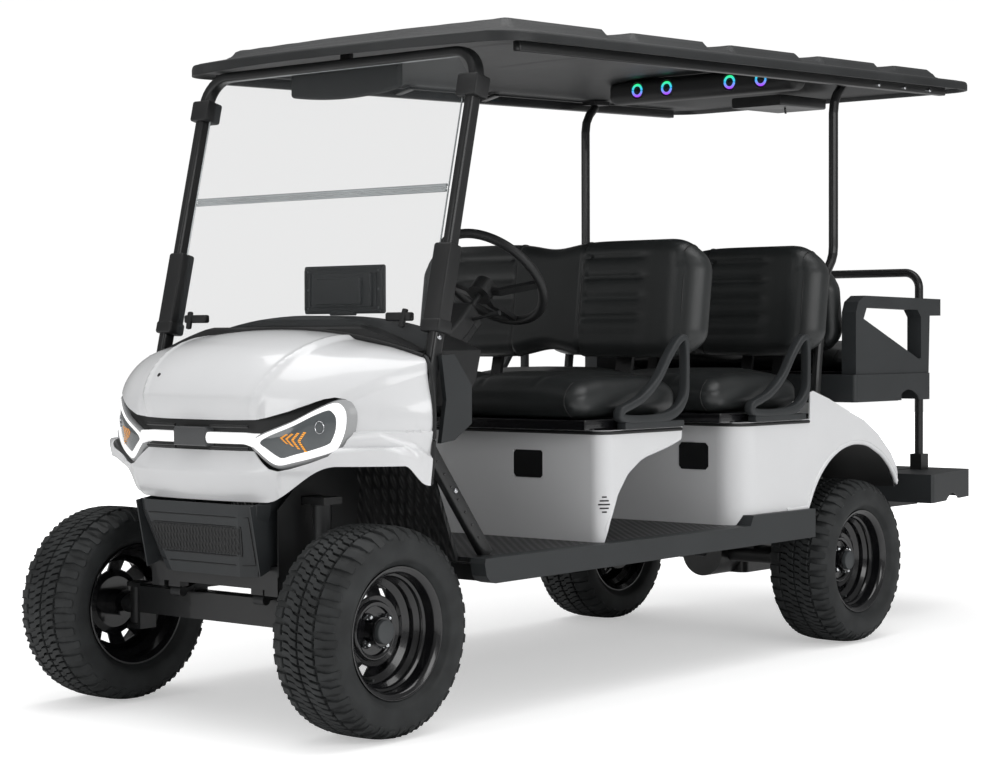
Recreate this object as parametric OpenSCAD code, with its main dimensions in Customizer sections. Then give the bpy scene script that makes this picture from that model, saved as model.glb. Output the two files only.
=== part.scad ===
// Six-seat lifted golf cart: two forward benches, one rear-facing bench with a footrest.
// Lengths in mm. +X is forward, +Y is the driver's left, +Z is up, the ground is Z = 0.
// Most pieces are placed by "aft", the distance behind the front axle.

/* [Overall] */
// Distance between the front and rear axles
wheelbase = 2350; // [2100:10:2900]
// Distance between the tyre centres on one axle
track = 1018; // [990:2:1080]
// Width of the body at the cowl and seat pods
body_w = 1200; // [1180:5:1300]
// Height of the cabin floor
floor_z = 448; // [440:2:500]
// Distance from the rear axle to the rear edge of the footrest
tail_reach = 1110; // [1080:5:1300]

/* [Wheels] */
// Outer diameter of the tyres
tyre_d = 559; // [520:1:580]
// Section width of the tyres
tyre_w = 235; // [190:1:240]
// Diameter of the rim flange
rim_d = 348; // [330:1:360]
// Width of the rim over its flanges
rim_w = 188; // [160:1:200]
// Radius of the stub axles
spindle_r = 17; // [14:0.5:22]
// Running clearance of the hubs and kingpins
run_gap = 0.05; // [0.02:0.01:0.1]

/* [Steering] */
// Distance between the kingpins
kingpin_span = 830; // [800:2:850]
// Radius of the kingpins
kingpin_r = 10; // [8:0.5:12]
// Length of the steering arms
arm_len = 110; // [90:1:130]
// Radius of the steering wheel at its rim
wheel_r = 172; // [150:1:190]
// Angle of the steering column above the horizontal
column_tilt = 43; // [35:1:50]

/* [Seats] */
// Distance between the two forward benches
bench_pitch = 720; // [700:5:860]
// Distance from the second pod's front to the rear axle
pod_lead = 738; // [720:2:900]
// Width of the forward bench cushions
cushion_w = 1120; // [1000:5:1130]
// Depth of the forward bench cushions
cushion_d = 510; // [440:5:520]
// Thickness of the seat cushions
cushion_t = 140; // [100:2:150]
// Width of the seat backs
back_w = 1170; // [1000:5:1180]
// Height of the seat backs
back_h = 375; // [300:5:420]
// Thickness of the seat backs
back_t = 106; // [80:2:120]
// Width of the rear-facing cushion
rear_cushion_w = 960; // [800:5:980]
// Depth of the rear-facing cushion
rear_cushion_d = 395; // [340:5:400]

/* [Cowl] */
// Nose of the cowl ahead of the front axle
nose_reach = 178; // [150:2:220]
// Height of the cowl's widest line
belt_z = 830; // [800:2:860]
// Height of the cowl's rear edge at its centre
cowl_top_z = 1075; // [1040:2:1100]
// Wall thickness of the moulded body shells
skin = 5; // [3:0.5:7]

/* [Roof] */
// Length of the roof
roof_l = 2780; // [2700:10:3320]
// Width of the roof
roof_w = 1340; // [1280:5:1400]
// Height of the roof's lower edge above the front axle
roof_z = 1842; // [1800:2:2000]
// Rise of the roof's edge per millimetre of length
roof_rake = 0.0325; // [0:0.0005:0.05]
// Height of the roof's dome
dome = 60; // [40:2:80]
// Radius of the round tubes
tube_r = 16; // [14:0.5:18]

/* [Hidden] */
$fn = 48;

seat_gap = 0.3;
tyre_r = tyre_d / 2;
front_x = (wheelbase + tail_reach - tyre_r) / 2;
half_track = track / 2;
half_body = body_w / 2;
kingpin_y = kingpin_span / 2;

body_black = "#1b1c1e";
frame_black = "#26282a";
moulded_grey = "#484b4d";
shell_white = "#ececee";
vinyl_black = "#1a1b1c";
roof_grey = "#2b2c2e";

// Fore and aft stations of the benches and the rear kit
pod1_a = wheelbase - pod_lead - bench_pitch;
pod2_a = wheelbase - pod_lead;
tray_a = wheelbase - 8;
tray_l = 530;
tail_a = wheelbase + tail_reach;
rail_end = wheelbase + 320;
pod_top = floor_z + 327;
rail_t = 24;
seat_z = pod_top + rail_t + seat_gap;

// Chassis rails
rail_y = 225;
rail_w = 50;
rail_h = 80;
pan_t = 12;
rail_top = floor_z - pan_t;
rail_front = -88;
spring_y = 165;

// Front axle beam
beam_h = 76;
beam_d = 60;
beam_top = tyre_r + beam_h * 0.77;

// Rear wheel arch of the body
arch_a = wheelbase - 20;
arch_z = tyre_r + 66;
arch_r = 338;

// Front posts: the line of their centres, and their section
strut_y = 540;
strut_t = 30;
strut_d = 44;
strut_low_z = 762;
function strut_a(z) = 223 + 0.235 * (z - 1030);

function roof_edge(a) = roof_z + roof_rake * a;
roof_front = 312;
roof_lip = 38;
land = 12;
dome_half = 500;

// A point given by aft distance, side and height
function pt(a, y, z) = [front_x - a, y, z];
function smooth(t) = let (c = max(0, min(1, t))) c * c * (3 - 2 * c);

module both_sides() {
    children();
    mirror([0, 1, 0]) children();
}

// Side profile of [aft, height] points, drawn out from y0 over the width w
module side_profile(points, y0, w) {
    translate([0, y0 + w, 0])
        rotate([90, 0, 0])
            linear_extrude(w)
                polygon([for (p = points) [front_x - p[0], p[1]]]);
}

// Front profile of [side, height] points, from aft a0 over the length l
module front_profile(points, a0, l) {
    translate([front_x - a0 - l, 0, 0])
        rotate([90, 0, 90])
            linear_extrude(l)
                polygon(points);
}

// Plan profile of [aft, side] points
module plan_profile(points, z0, h) {
    translate([0, 0, z0])
        linear_extrude(h)
            polygon([for (p = points) [front_x - p[0], p[1]]]);
}

module block(a0, a1, y0, y1, z0, z1) {
    translate([front_x - a1, y0, z0])
        cube([a1 - a0, y1 - y0, z1 - z0]);
}

// Block with its four upright edges rounded
module soft_block(a0, a1, y0, y1, z0, z1, r) {
    translate([front_x - a1, y0, z0])
        linear_extrude(z1 - z0)
            union() {
                translate([r, 0])
                    square([a1 - a0 - 2 * r, y1 - y0]);
                translate([0, r])
                    square([a1 - a0, y1 - y0 - 2 * r]);
                for (x = [r, a1 - a0 - r], y = [r, y1 - y0 - r])
                    translate([x, y])
                        circle(r);
            }
}

module cross_rod(a, z, r, y0, y1) {
    translate([front_x - a, y0, z])
        rotate([-90, 0, 0])
            cylinder(r = r, h = y1 - y0);
}

module post(a, y, r, z0, z1) {
    translate([front_x - a, y, z0])
        cylinder(r = r, h = z1 - z0);
}

// Wheel-side frame: +Z of the children points out along +Y from a wheel centre
module wheel_place(a, y) {
    translate([front_x - a, y, tyre_r])
        rotate([-90, 0, 0])
            children();
}

// Tube swept along points with polygon rings
function unit(v) = v / norm(v);
function tangent(p, i) =
    i == 0 ? unit(p[1] - p[0])
    : i == len(p) - 1 ? unit(p[i] - p[i - 1])
    : unit(unit(p[i] - p[i - 1]) + unit(p[i + 1] - p[i]));
function ring(c, t, side, r, n) =
    let (u = unit(cross(side, t)), v = cross(t, u))
    [for (k = [0:n - 1]) c + r * (cos(360 * k / n) * u + sin(360 * k / n) * v)];
module swept_tube(path, r, side = [0, 1, 0], n = 12) {
    m = len(path);
    rings = [for (i = [0:m - 1]) each ring(path[i], tangent(path, i), side, r, n)];
    walls = [for (i = [0:m - 2], k = [0:n - 1])
        let (a = i * n + k, b = i * n + (k + 1) % n)
        each [[a, b + n, b], [a, a + n, b + n]]];
    first = [for (k = [1:n - 2]) [0, k, k + 1]];
    last = [for (k = [1:n - 2]) [(m - 1) * n, (m - 1) * n + k + 1, (m - 1) * n + k]];
    polyhedron(rings, concat(walls, first, last));
}

// Closed shell between two grids of points with nu columns and nv rows
module grid_shell(outer, inner, nu, nv) {
    n = nu * nv;
    function q(a, b, c, d) = [[a, b, c], [a, c, d]];
    outside = [for (j = [0:nv - 2], i = [0:nu - 2])
        let (k = j * nu + i)
        each q(k, k + 1, k + nu + 1, k + nu)];
    inside = [for (j = [0:nv - 2], i = [0:nu - 2])
        let (k = n + j * nu + i)
        each q(k, k + nu, k + nu + 1, k + 1)];
    low = [for (i = [0:nu - 2]) each q(i + 1, i, n + i, n + i + 1)];
    high = [for (i = [0:nu - 2])
        let (k = (nv - 1) * nu + i)
        each q(k, k + 1, n + k + 1, n + k)];
    left = [for (j = [0:nv - 2])
        let (k = j * nu)
        each q(k, k + nu, n + k + nu, n + k)];
    right = [for (j = [0:nv - 2])
        let (k = j * nu + nu - 1)
        each q(k + nu, k, n + k, n + k + nu)];
    polyhedron(concat(outer, inner), concat(outside, inside, low, high, left, right));
}

// ---- running gear ----

rear_post_a = [wheelbase + 40, rail_end - 30];
bed_post_w = 36;

module chassis_frame() {
    color(frame_black)
    union() {
        both_sides() {
            block(rail_front, rail_end, rail_y - rail_w / 2, rail_y + rail_w / 2,
                rail_top - rail_h, rail_top);
            // towers under the cowl that carry the dash and the shock absorbers
            block(40, 90, rail_y - 25, rail_y + 10, rail_top - 1, 880);
            block(shock_a - 24, 70, rail_y - 20, shock_y + 26, shock_top, shock_top + 20);
            // outriggers under the floor
            for (a = [380, pod1_a + 120, pod2_a + 30])
                block(a, a + 40, rail_y, half_body - 32, rail_top - 56, rail_top - 12);
            // uprights that carry the rear seat tray
            for (a = rear_post_a)
                block(a, a + bed_post_w, rail_y - bed_post_w / 2, rail_y + bed_post_w / 2,
                    rail_top - 1, tray_z);
            // arms under the footrest
            block(rail_end - 1, tail_a - 60, rail_y - 20, rail_y + 20,
                rail_top - 40, foot_z - foot_t - seat_gap);
            // spring hangers
            for (a = [spring_front_a, spring_rear_a, rear_spring_front, rear_spring_rear])
                block(a - 16, a + 16, spring_y - 23, spring_y + 23,
                    hanger_z(a), member_low + 1);
            // bracket behind the front bumper
            side_profile([[rail_front + 1, member_low + 38], [rail_front + 1, member_low + 58],
                [-fascia_inner(member_low + 58) + seat_gap, member_low + 58],
                [-fascia_inner(member_low + 38) + seat_gap, member_low + 38]], 90, 40);
            block(rail_front, rail_front + 10, 90, 130, member_low + 2, member_low + 58);
        }
        for (a = [rail_front, spring_rear_a - 20, pod1_a, pod2_a - 60,
                rear_spring_front - 20, rail_end - 40])
            block(a, a + 40, -rail_y, rail_y, member_low, member_low + 50);
        block(46, 84, -rail_y, rail_y, 840, 876);
    }
}

member_low = rail_top - 64;
spring_front_a = -66;
spring_rear_a = 420;
rear_spring_front = wheelbase - 330;
rear_spring_rear = wheelbase + 300;
eye_r = 14;
front_eye_z = beam_top + 3;
rear_eye_z = tyre_r + 30;
function hanger_z(a) = (a < wheelbase / 2 ? front_eye_z : rear_eye_z) + eye_r + seat_gap;

yoke_t = 12;
yoke_low = tyre_r - 54;
yoke_high = tyre_r + 54;

module front_axle() {
    color(frame_black)
    difference() {
        union() {
            block(-beam_d / 2, beam_d / 2, -(kingpin_y - 40), kingpin_y - 40,
                beam_top - beam_h, beam_top);
            both_sides() {
                block(-beam_d / 2, beam_d / 2, kingpin_y - 46, kingpin_y - 36,
                    yoke_low, yoke_high);
                for (z = [yoke_low - yoke_t, yoke_high]) {
                    block(-beam_d / 2, beam_d / 2, kingpin_y - 46, kingpin_y, z, z + yoke_t);
                    post(0, kingpin_y, beam_d / 2, z, z + yoke_t);
                }
                post(0, kingpin_y, kingpin_r, yoke_low - 1, yoke_high + 1);
            }
        }
        // hollow of the box beam, open at both ends of the span
        block(-beam_d / 2 + 5, beam_d / 2 - 5, -(kingpin_y - 60), kingpin_y - 60,
            beam_top - beam_h + 5, beam_top - 5);
    }
}

arm_z = tyre_r + 16;
arm_t = 12;
boss_r = 20;

module knuckle() {
    color(frame_black)
    difference() {
        union() {
            post(0, kingpin_y, boss_r, yoke_low + seat_gap, yoke_high - seat_gap);
            cross_rod(0, tyre_r, 26, kingpin_y + 4, kingpin_y + 40);
            cross_rod(0, tyre_r, spindle_r, kingpin_y + 30, half_track + 20);
            block(0, arm_len, kingpin_y - 12, kingpin_y + 12, arm_z, arm_z + arm_t);
            post(arm_len, kingpin_y, 16, arm_z, arm_z + arm_t);
        }
        post(0, kingpin_y, kingpin_r + run_gap, 0, yoke_high + 20);
    }
}

rod_r = 9;
eye_h = 20;

module tie_rod() {
    top = arm_z - 0.5;
    color(frame_black)
    union() {
        cross_rod(arm_len, top - eye_h / 2, rod_r, -kingpin_y, kingpin_y);
        both_sides()
            post(arm_len, kingpin_y, 15, top - eye_h, top);
    }
}

drum_in = half_track - 82;
axle_r = 32;

module rear_axle() {
    color(frame_black)
    union() {
        cross_rod(wheelbase, tyre_r, axle_r, -drum_in, drum_in);
        both_sides() {
            cross_rod(wheelbase, tyre_r, 92, drum_in - 4, drum_in + 32);
            cross_rod(wheelbase, tyre_r, spindle_r, drum_in, half_track + 20);
        }
        // gear case and the drive motor behind it
        translate(pt(wheelbase, 0, tyre_r))
            rotate([0, 90, 0])
                cylinder(r = 84, h = 150, center = true);
        soft_block(wheelbase + 60, wheelbase + 270, -92, 92, tyre_r - 80, tyre_r + 58, 30);
    }
}

// Leaf spring: a bowed strip between two eyes, seated at height z over the axle
module leaf(a0, a1, seat_a, eye_z, seat_low) {
    thick = 22;
    n = 12;
    bow = seat_low - eye_z;
    function low(a) =
        let (t = a < seat_a ? (a - a0) / (seat_a - a0) : (a1 - a) / (a1 - seat_a))
        eye_z + bow * sin(90 * t) - 6;
    steps = [for (i = [0:n]) a0 + (a1 - a0) * i / n];
    under = [for (a = steps) [a, low(a)]];
    over = [for (i = [n:-1:0]) [steps[i], low(steps[i]) + thick * (0.5 + 0.5 * sin(180 * i / n))]];
    side_profile(concat(under, over), spring_y - 20, 40);
    for (a = [a0, a1])
        cross_rod(a, eye_z, eye_r, spring_y - 20, spring_y + 20);
}

shock_y = 312;
shock_a = 24;
shock_top = 600;

module springs_and_shocks() {
    color("#202122")
    both_sides() {
        union() {
            leaf(spring_front_a, spring_rear_a, 0, front_eye_z, beam_top + 14);
            block(-24, 24, spring_y - 22, spring_y + 22, beam_top, beam_top + 14);
        }
        union() {
            leaf(rear_spring_front, rear_spring_rear, wheelbase, rear_eye_z, tyre_r + 46);
            difference() {
                block(wheelbase - 26, wheelbase + 26, spring_y - 22, spring_y + 22,
                    tyre_r, tyre_r + 46);
                cross_rod(wheelbase, tyre_r, axle_r + seat_gap, spring_y - 40, spring_y + 40);
            }
        }
        union() {
            post(shock_a - 4, shock_y, 21, beam_top + seat_gap, beam_top + 150);
            post(shock_a - 4, shock_y, 26, beam_top + 149, shock_top - seat_gap);
        }
    }
}

module battery_pack() {
    color("#303234")
        soft_block(pod2_a - 250, pod2_a + 180, -rail_y + rail_w / 2 + 1,
            rail_y - rail_w / 2 - 1, floor_z - 136, member_low - seat_gap, 12);
    color("#303234")
        soft_block(pod2_a + 60, pod2_a + 340, -rail_y - 120, rail_y + 120,
            floor_z + seat_gap, floor_z + 210, 14);
}

// ---- wheels ----

bead_r = rim_d / 2 - 13;
hub_r = 38;
bolt_circle = 101.6;

module rim() {
    half = rim_w / 2;
    flange = rim_d / 2;
    well = bead_r - 18;
    slot_in = 92;
    slot_out = 122;
    color("#141516")
    difference() {
        union() {
            rotate_extrude($fn = 96)
                polygon([
                    [flange, -half], [flange, -half + 4], [bead_r, -half + 16],
                    [bead_r - 2, -half + 44], [well, -half + 60], [well, half - 72],
                    [bead_r - 2, half - 56], [bead_r, half - 16], [flange, half - 4],
                    [flange, half], [flange - 5, half], [bead_r - 4, half - 14],
                    [bead_r - 6, half - 54], [well - 4, half - 70], [well - 4, -half + 58],
                    [bead_r - 6, -half + 42], [bead_r - 4, -half + 14], [flange - 5, -half]]);
            rotate_extrude($fn = 96)
                polygon([
                    [well - 1, 10], [slot_out, -2], [slot_in, 14], [74, 8], [hub_r - 2, 8],
                    [hub_r - 2, 2], [74, 2], [slot_in, 8], [slot_out, -8], [well - 1, 4]]);
            translate([0, 0, -40])
                cylinder(r = hub_r, h = 82);
        }
        translate([0, 0, -41])
            cylinder(r = spindle_r + run_gap, h = 41 + 26);
        for (k = [0:7])
            rotate(45 * k + 22.5)
                translate([0, 0, -30])
                    linear_extrude(60)
                        polygon([[slot_in + 2, -13], [slot_out - 2, -21],
                            [slot_out - 2, 21], [slot_in + 2, 13]]);
    }
}

module tyre() {
    half = tyre_w / 2;
    bead = bead_r + seat_gap;
    flange_gap = rim_w / 2 - 5 - seat_gap;
    color("#161718")
        rotate_extrude($fn = 96)
            polygon([
                [bead, -flange_gap + 12], [bead + 13, -flange_gap], [tyre_r - 72, -half + 6],
                [tyre_r - 52, -half], [tyre_r - 26, -half + 3], [tyre_r - 9, -half + 14],
                [tyre_r - 2, -half + 34], [tyre_r, 0], [tyre_r - 2, half - 34],
                [tyre_r - 9, half - 14], [tyre_r - 26, half - 3], [tyre_r - 52, half],
                [tyre_r - 72, half - 6], [bead + 13, flange_gap], [bead, flange_gap - 12]]);
}

module at_corner(front, left) {
    mirror([0, left ? 0 : 1, 0])
        wheel_place(front ? 0 : wheelbase, half_track)
            children();
}

// ---- body ----

floor_half = half_body - 30;
toe_top_a = 205;
toe_top_z = 760;
toe_low_a = 335;

toe_half = strut_y - strut_t / 2 - 3;
floor_end = arch_a - arch_r - 20;

mat_t = 2;

module floor_pan() {
    color(body_black)
    union() {
        // mat on the passenger's side
        block(toe_low_a + 40, pod1_a - 70, -480, -40, floor_z - 1, floor_z + mat_t);
        side_profile([
            [toe_top_a, toe_top_z], [toe_low_a, floor_z], [toe_low_a + 20, floor_z],
            [toe_low_a + 20, floor_z - pan_t], [toe_low_a - 8, floor_z - pan_t],
            [toe_top_a - 12, toe_top_z - 4]], -toe_half, 2 * toe_half);
        block(toe_low_a, floor_end, -floor_half, floor_half, floor_z - pan_t, floor_z);
    }
}

rocker_low = floor_z - 70;
rocker_step = 32;
step_a = pod2_a + 26;
rocker_end = arch_a - arch_r + 36;

module rocker_panels() {
    front = toe_low_a - 6;
    wall = 4;
    function outline(g) = [
        [front + 8 + g, rocker_low + 22], [front + 24 + g, rocker_low + 6 + g],
        [front + 46 + g, rocker_low + g], [rocker_end - g, rocker_low + 8 + g],
        [rocker_end - g, floor_z + rocker_step - g], [step_a + 18 + g, floor_z + rocker_step - g],
        [step_a + g, floor_z - g], [front + 4 + g, floor_z - g], [front + g, floor_z - 14]];
    color(moulded_grey)
    both_sides()
        difference() {
            side_profile(outline(0), floor_half + seat_gap, half_body + 22 - floor_half);
            side_profile(outline(wall), floor_half - 10, half_body + 28 - floor_half);
        }
}

// Cowl: a domed shell lofted from the lip over the wheels, out to the belt line and
// back to the edge at the windshield's foot.
cowl_rear_a = 150;
cowl_edge_a = 178;
cowl_edge_half = half_body - 63;
cowl_edge_z = cowl_top_z - 75;
cowl_cols = 33;
cowl_low_rows = 5;
cowl_rows = 14;

function belt_side(t) = sign(t) * pow(abs(sin(t)), 0.8);
function belt_point(t) =
    [cowl_rear_a - (cowl_rear_a + nose_reach) * pow(max(0, cos(t)), 1.54), half_body * belt_side(t)];
function top_point(t) = [cowl_edge_a, cowl_edge_half * belt_side(t)];
function top_height(t) = cowl_edge_z + (cowl_top_z - cowl_edge_z) * (1 - pow(belt_side(t), 2));
function lip_height(y) =
    belt_z - 220 + 100 * smooth((abs(y) - 250) / 190) - 55 * smooth((abs(y) - half_body + 40) / 40);
function plan_out(t) = unit([-pow(max(0.0001, cos(t)), 0.8), 1.1 * sin(t)]);
function cowl_point(t, row, inset) =
    let (m = belt_point(t), up = row > cowl_low_rows,
        f = up ? 90 * (row - cowl_low_rows) / (cowl_rows - 1 - cowl_low_rows) : 0,
        g = up ? 0 : 1 - row / cowl_low_rows,
        e = top_point(t),
        base = up ? e + (m - e) * cos(f) : m,
        z = up ? belt_z + (top_height(t) - belt_z) * sin(f)
            : belt_z + (lip_height(m[1]) - belt_z) * g,
        n = plan_out(t),
        tuck = 14 * g * g + inset * max(0.35, cos(f)))
    pt(base[0] - n[0] * tuck, base[1] - n[1] * tuck, z - inset * sin(f));

module cowl_skin(inset, thick) {
    function grid(d) = [for (j = [0:cowl_rows - 1], i = [0:cowl_cols - 1])
        cowl_point(-90 + 180 * i / (cowl_cols - 1), j, d)];
    grid_shell(grid(inset), grid(inset + thick), cowl_cols, cowl_rows);
}

lamp_in = 206;
// Outline of the left lamp, seen from ahead
function lamp_outline(g) = [
    [lamp_in + g, belt_z - 52], [lamp_in + 30 + g, belt_z - 36 - g],
    [lamp_in + 125, belt_z + 1 - g], [half_body - 196, belt_z + 46 - g],
    [half_body - 174, belt_z + 56 - g], [half_body - 156 - g, belt_z + 48 - g],
    [half_body - 141 - g, belt_z + 22], [half_body - 145 - g, belt_z - 26],
    [half_body - 165 - g, belt_z - 78], [half_body - 180, belt_z - 90 + g],
    [lamp_in + 120, belt_z - 122 + g], [lamp_in + 84, belt_z - 129 + g],
    [lamp_in + 54, belt_z - 122 + g], [lamp_in + g, belt_z - 76]];
bar_low = belt_z - 62;
bar_high = belt_z - 30;

module front_cowl() {
    color(shell_white)
    difference() {
        cowl_skin(0, skin);
        both_sides()
            front_profile(lamp_outline(0), -nose_reach - 40, nose_reach + 220);
        block(-nose_reach - 40, -60, -lamp_in - 2, lamp_in + 2, bar_low, bar_high);
    }
}

// Clear run of the lamps' front faces behind the cowl surface, in plan
function lamp_face(d) = [for (t = [14:6:80]) let (p = belt_point(t), n = plan_out(t)) p - n * d];

module lamps() {
    face = lamp_face(12);
    color("#e9edf2") {
        both_sides()
            intersection() {
                front_profile(lamp_outline(0.4), -nose_reach - 20, nose_reach + 200);
                plan_profile(concat(face, [[cowl_rear_a - 60, half_body - 90],
                    [-20, lamp_in - 30]]), belt_z - 160, 220);
            }
        block(-nose_reach + 30, -nose_reach + 70, -lamp_in - 1.6, lamp_in + 1.6,
            bar_low + 0.4, bar_high - 0.4);
        // tail lamps on the sloping rear panel
        both_sides()
            side_profile([[tail_slope(566) + 0.5, 566], [tail_slope(630) + 0.5, 630],
                [tail_slope(630) + 12, 641], [tail_slope(566) + 12, 577]], 380, 140);
    }
}

fascia_top = belt_z - 226;
fascia_low = belt_z - 425;
fascia_rear = 92;
// Reach of the bumper's inner face ahead of the axle at height z
function fascia_inner(z) =
    let (t = (z - fascia_low + skin) / (fascia_top - 30 - fascia_low + skin))
    nose_reach - 62 - skin + 52 * t;

module front_fascia() {
    // horizontal slices of the bumper, wider at the top
    function slice(w, reach, g) = [
        [-reach + g, -w + 46], [-reach + g, w - 46], [min(-reach + 26 + g, -fascia_rear - 1), w - g],
        [-fascia_rear, w - g], [-fascia_rear, -w + g],
        [min(-reach + 26 + g, -fascia_rear - 1), -w + g]];
    module bumper(g) {
        hull() {
            plan_profile(slice(232, nose_reach - 8, g), fascia_top - 1 + g, 1);
            plan_profile(slice(228, nose_reach - 10, g), fascia_top - 30, 1);
            plan_profile(slice(182, nose_reach - 62, g), fascia_low - g, 1);
        }
    }
    color(moulded_grey)
    difference() {
        bumper(0);
        bumper(skin);
        block(-fascia_rear - 2, 0, -232 + skin, 232 - skin, fascia_low - 20, fascia_top + 20);
    }
}

liner = 4;

module splash_panels() {
    color(body_black) {
        both_sides() {
            // inner sides of the front wheel wells, fixed to the chassis rails
            difference() {
                side_profile([[-88, fascia_low + 4], [-88, 590], [-30, 640], [20, 700],
                    [190, 700], [230, 640], [190, fascia_low + 4]],
                    rail_y + rail_w / 2 + seat_gap, liner);
                block(shock_a - 26, 72, 200, 300, shock_top - 2, shock_top + 22);
            }
            // rear wheel-well liners, just inside the body's arches
            difference() {
                cross_rod(arch_a, arch_z, arch_r + liner + 0.3, 300, half_body - skin - seat_gap);
                cross_rod(arch_a, arch_z, arch_r + 0.3, 280, half_body);
                block(arch_a - 500, arch_a + 500, 290, half_body, -100, floor_z + rocker_step + 4);
                block(arch_a + 200, arch_a + 500, 290, half_body, -100, 520);
                block(arch_a + 250, arch_a + 500, half_body - 18, half_body, 0, 700);
            }
        }
    }
}

dash_half = 505;

dash_front = cowl_edge_a + 2.2;
dash_top = cowl_top_z + 37;
dash_band = cowl_top_z + 4;
dash_drop = 100;
// Height of the dash along its width, a shallow dome like the cowl's edge
function dash_dome(y) = dash_top - dash_drop * pow(y / dash_half, 2);

module dash() {
    function dome_profile(w, d) = concat(
        [for (k = [-12:12]) [w * k / 12, dash_dome(w * k / 12) - d]], [[w, 700], [-w, 700]]);
    outer = [[dash_front, 985], [dash_front, dash_band - 6], [dash_front + 10, dash_band],
        [250, dash_band], [258, dash_top - 12], [276, dash_top], [428, dash_top],
        [452, dash_top - 18], [460, 1030], [432, 930], [392, 880], [330, 860], [250, 862]];
    inner = [[dash_front + 6, 990], [dash_front + 6, dash_band - 10], [254, dash_band - 6],
        [264, dash_top - 14], [280, dash_top - 6], [426, dash_top - 6],
        [446, dash_top - 22], [454, 1030], [426, 934], [388, 890], [330, 868], [256, 870]];
    color(body_black)
    difference() {
        union() {
            intersection() {
                side_profile(outer, -dash_half, 2 * dash_half);
                front_profile(dome_profile(dash_half, 0), 100, 400);
            }
            // ears against the windshield struts
            both_sides()
                block(200, 240, dash_half - 4, strut_y - strut_t / 2 - seat_gap, 988, 1008);
        }
        intersection() {
            side_profile(inner, -dash_half + 8, 2 * dash_half - 16);
            front_profile(dome_profile(dash_half - 6, 6), 100, 400);
        }
        // the way through for the steering column
        along_column(860)
            cylinder(r = column_r + 6, h = 760);
    }
}

display_y = 24;

module display_screen() {
    z = dash_top;
    color("#232527")
    union() {
        block(394, 430, display_y - 160, display_y + 160, z + 5, z + 146);
        block(380, 394, display_y - 118, display_y + 70, z + 16, z + 124);
        block(398, 424, display_y - 60, display_y + 60, z + seat_gap, z + 6);
    }
}

column_r = 24;
column_l = 700;
steer_y = 280;
steer_a = 770;
steer_z = 1225;
// A point on the column's centre line, s below the steering wheel
function column_at(s) = pt(steer_a - cos(column_tilt) * s, steer_y, steer_z - sin(column_tilt) * s);

module along_column(s) {
    translate(column_at(s))
        rotate([0, column_tilt - 90, 0])
            children();
}

shaft_r = 9;

module steering_column() {
    color("#222426")
    difference() {
        union() {
            along_column(540)
                cylinder(r = column_r, h = 540 - 92);
            along_column(780)
                cylinder(r = 12, h = 260);
            // angular cowling under the wheel
            along_column(300)
                translate([-46, -50, 0])
                    cube([92, 100, 150]);
        }
        along_column(240)
            cylinder(r = shaft_r + run_gap, h = 240);
        // cut off at the toe board
        side_profile([[toe_top_a + 0.4, toe_top_z], [toe_low_a + 0.4, floor_z],
            [toe_low_a - 200, floor_z - 60], [-100, 600], [-100, 900]], 200, 160);
    }
}

module steering_wheel() {
    color("#1d1e20")
    union() {
        along_column(0)
            rotate_extrude($fn = 96)
                translate([wheel_r, 0])
                    circle(r = 14, $fn = 32);
        along_column(78)
            cylinder(r = 36, h = 46);
        along_column(160)
            cylinder(r = shaft_r, h = 100);
        for (turn = [100, 180, 260])
            spoke(turn);
    }
}

// Flat spoke from the hub, 50 below the rim's plane, out to the rim
module spoke(turn) {
    along_column(0)
        rotate(turn)
            rotate([90, 0, 0])
                translate([0, 0, -11])
                    linear_extrude(22)
                        polygon([[24, -62], [60, -60], [wheel_r, -7], [wheel_r, 5],
                            [wheel_r - 8, 5], [56, -48], [24, -48]]);
}

module pedals() {
    color("#2a2c2e")
    for (y = [180, 350])
        union() {
            block(400, 470, y - 45, y + 45, floor_z + seat_gap, floor_z + 12);
            side_profile([[462, floor_z + 6], [470, floor_z + 6], [392, floor_z + 128],
                [380, floor_z + 122]], y - 42, 84);
        }
}

strut_kink_a = 176;
strut_foot_a = 430;

module windshield_struts() {
    top_a = strut_a(roof_edge(0)) + 6;
    half = strut_d / 2;
    function top_z(a) = roof_edge(a) + land - 1;
    color(body_black)
    both_sides()
        union() {
            side_profile([
                [strut_kink_a - half, strut_low_z], [strut_a(1000) - half, 1000],
                [top_a - half - 4, top_z(top_a) - 14], [top_a - half + 8, top_z(top_a)],
                [top_a + half + 34, top_z(top_a + half + 34)],
                [top_a + half + 34, top_z(top_a + half) - 20],
                [top_a + half - 4, top_z(top_a) - 44],
                [strut_a(1770) + half, 1770],
                [strut_a(1000) + half, 1000], [strut_kink_a + half + 6, strut_low_z + 10],
                [strut_foot_a + half, floor_z + seat_gap], [strut_foot_a - half, floor_z + seat_gap]],
                strut_y - strut_t / 2, strut_t);
            // sleeves that hold the lower sheet, and the clamps of the upper one
            for (z = [[1075, 1300], [1700, 1770]])
                side_profile([
                    [strut_a(z[0]) - 16, z[0]], [strut_a(z[1]) - 16, z[1]],
                    [strut_a(z[1]) + 16, z[1]], [strut_a(z[0]) + 16, z[0]]],
                    sheet_half + seat_gap, strut_y - sheet_half);
        }
}

sheet_half = 505;
sheet_t = 6;
sheet_low_z = 1012;
sheet_mid_z = 1457;
sheet_top_z = 1826;

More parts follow.
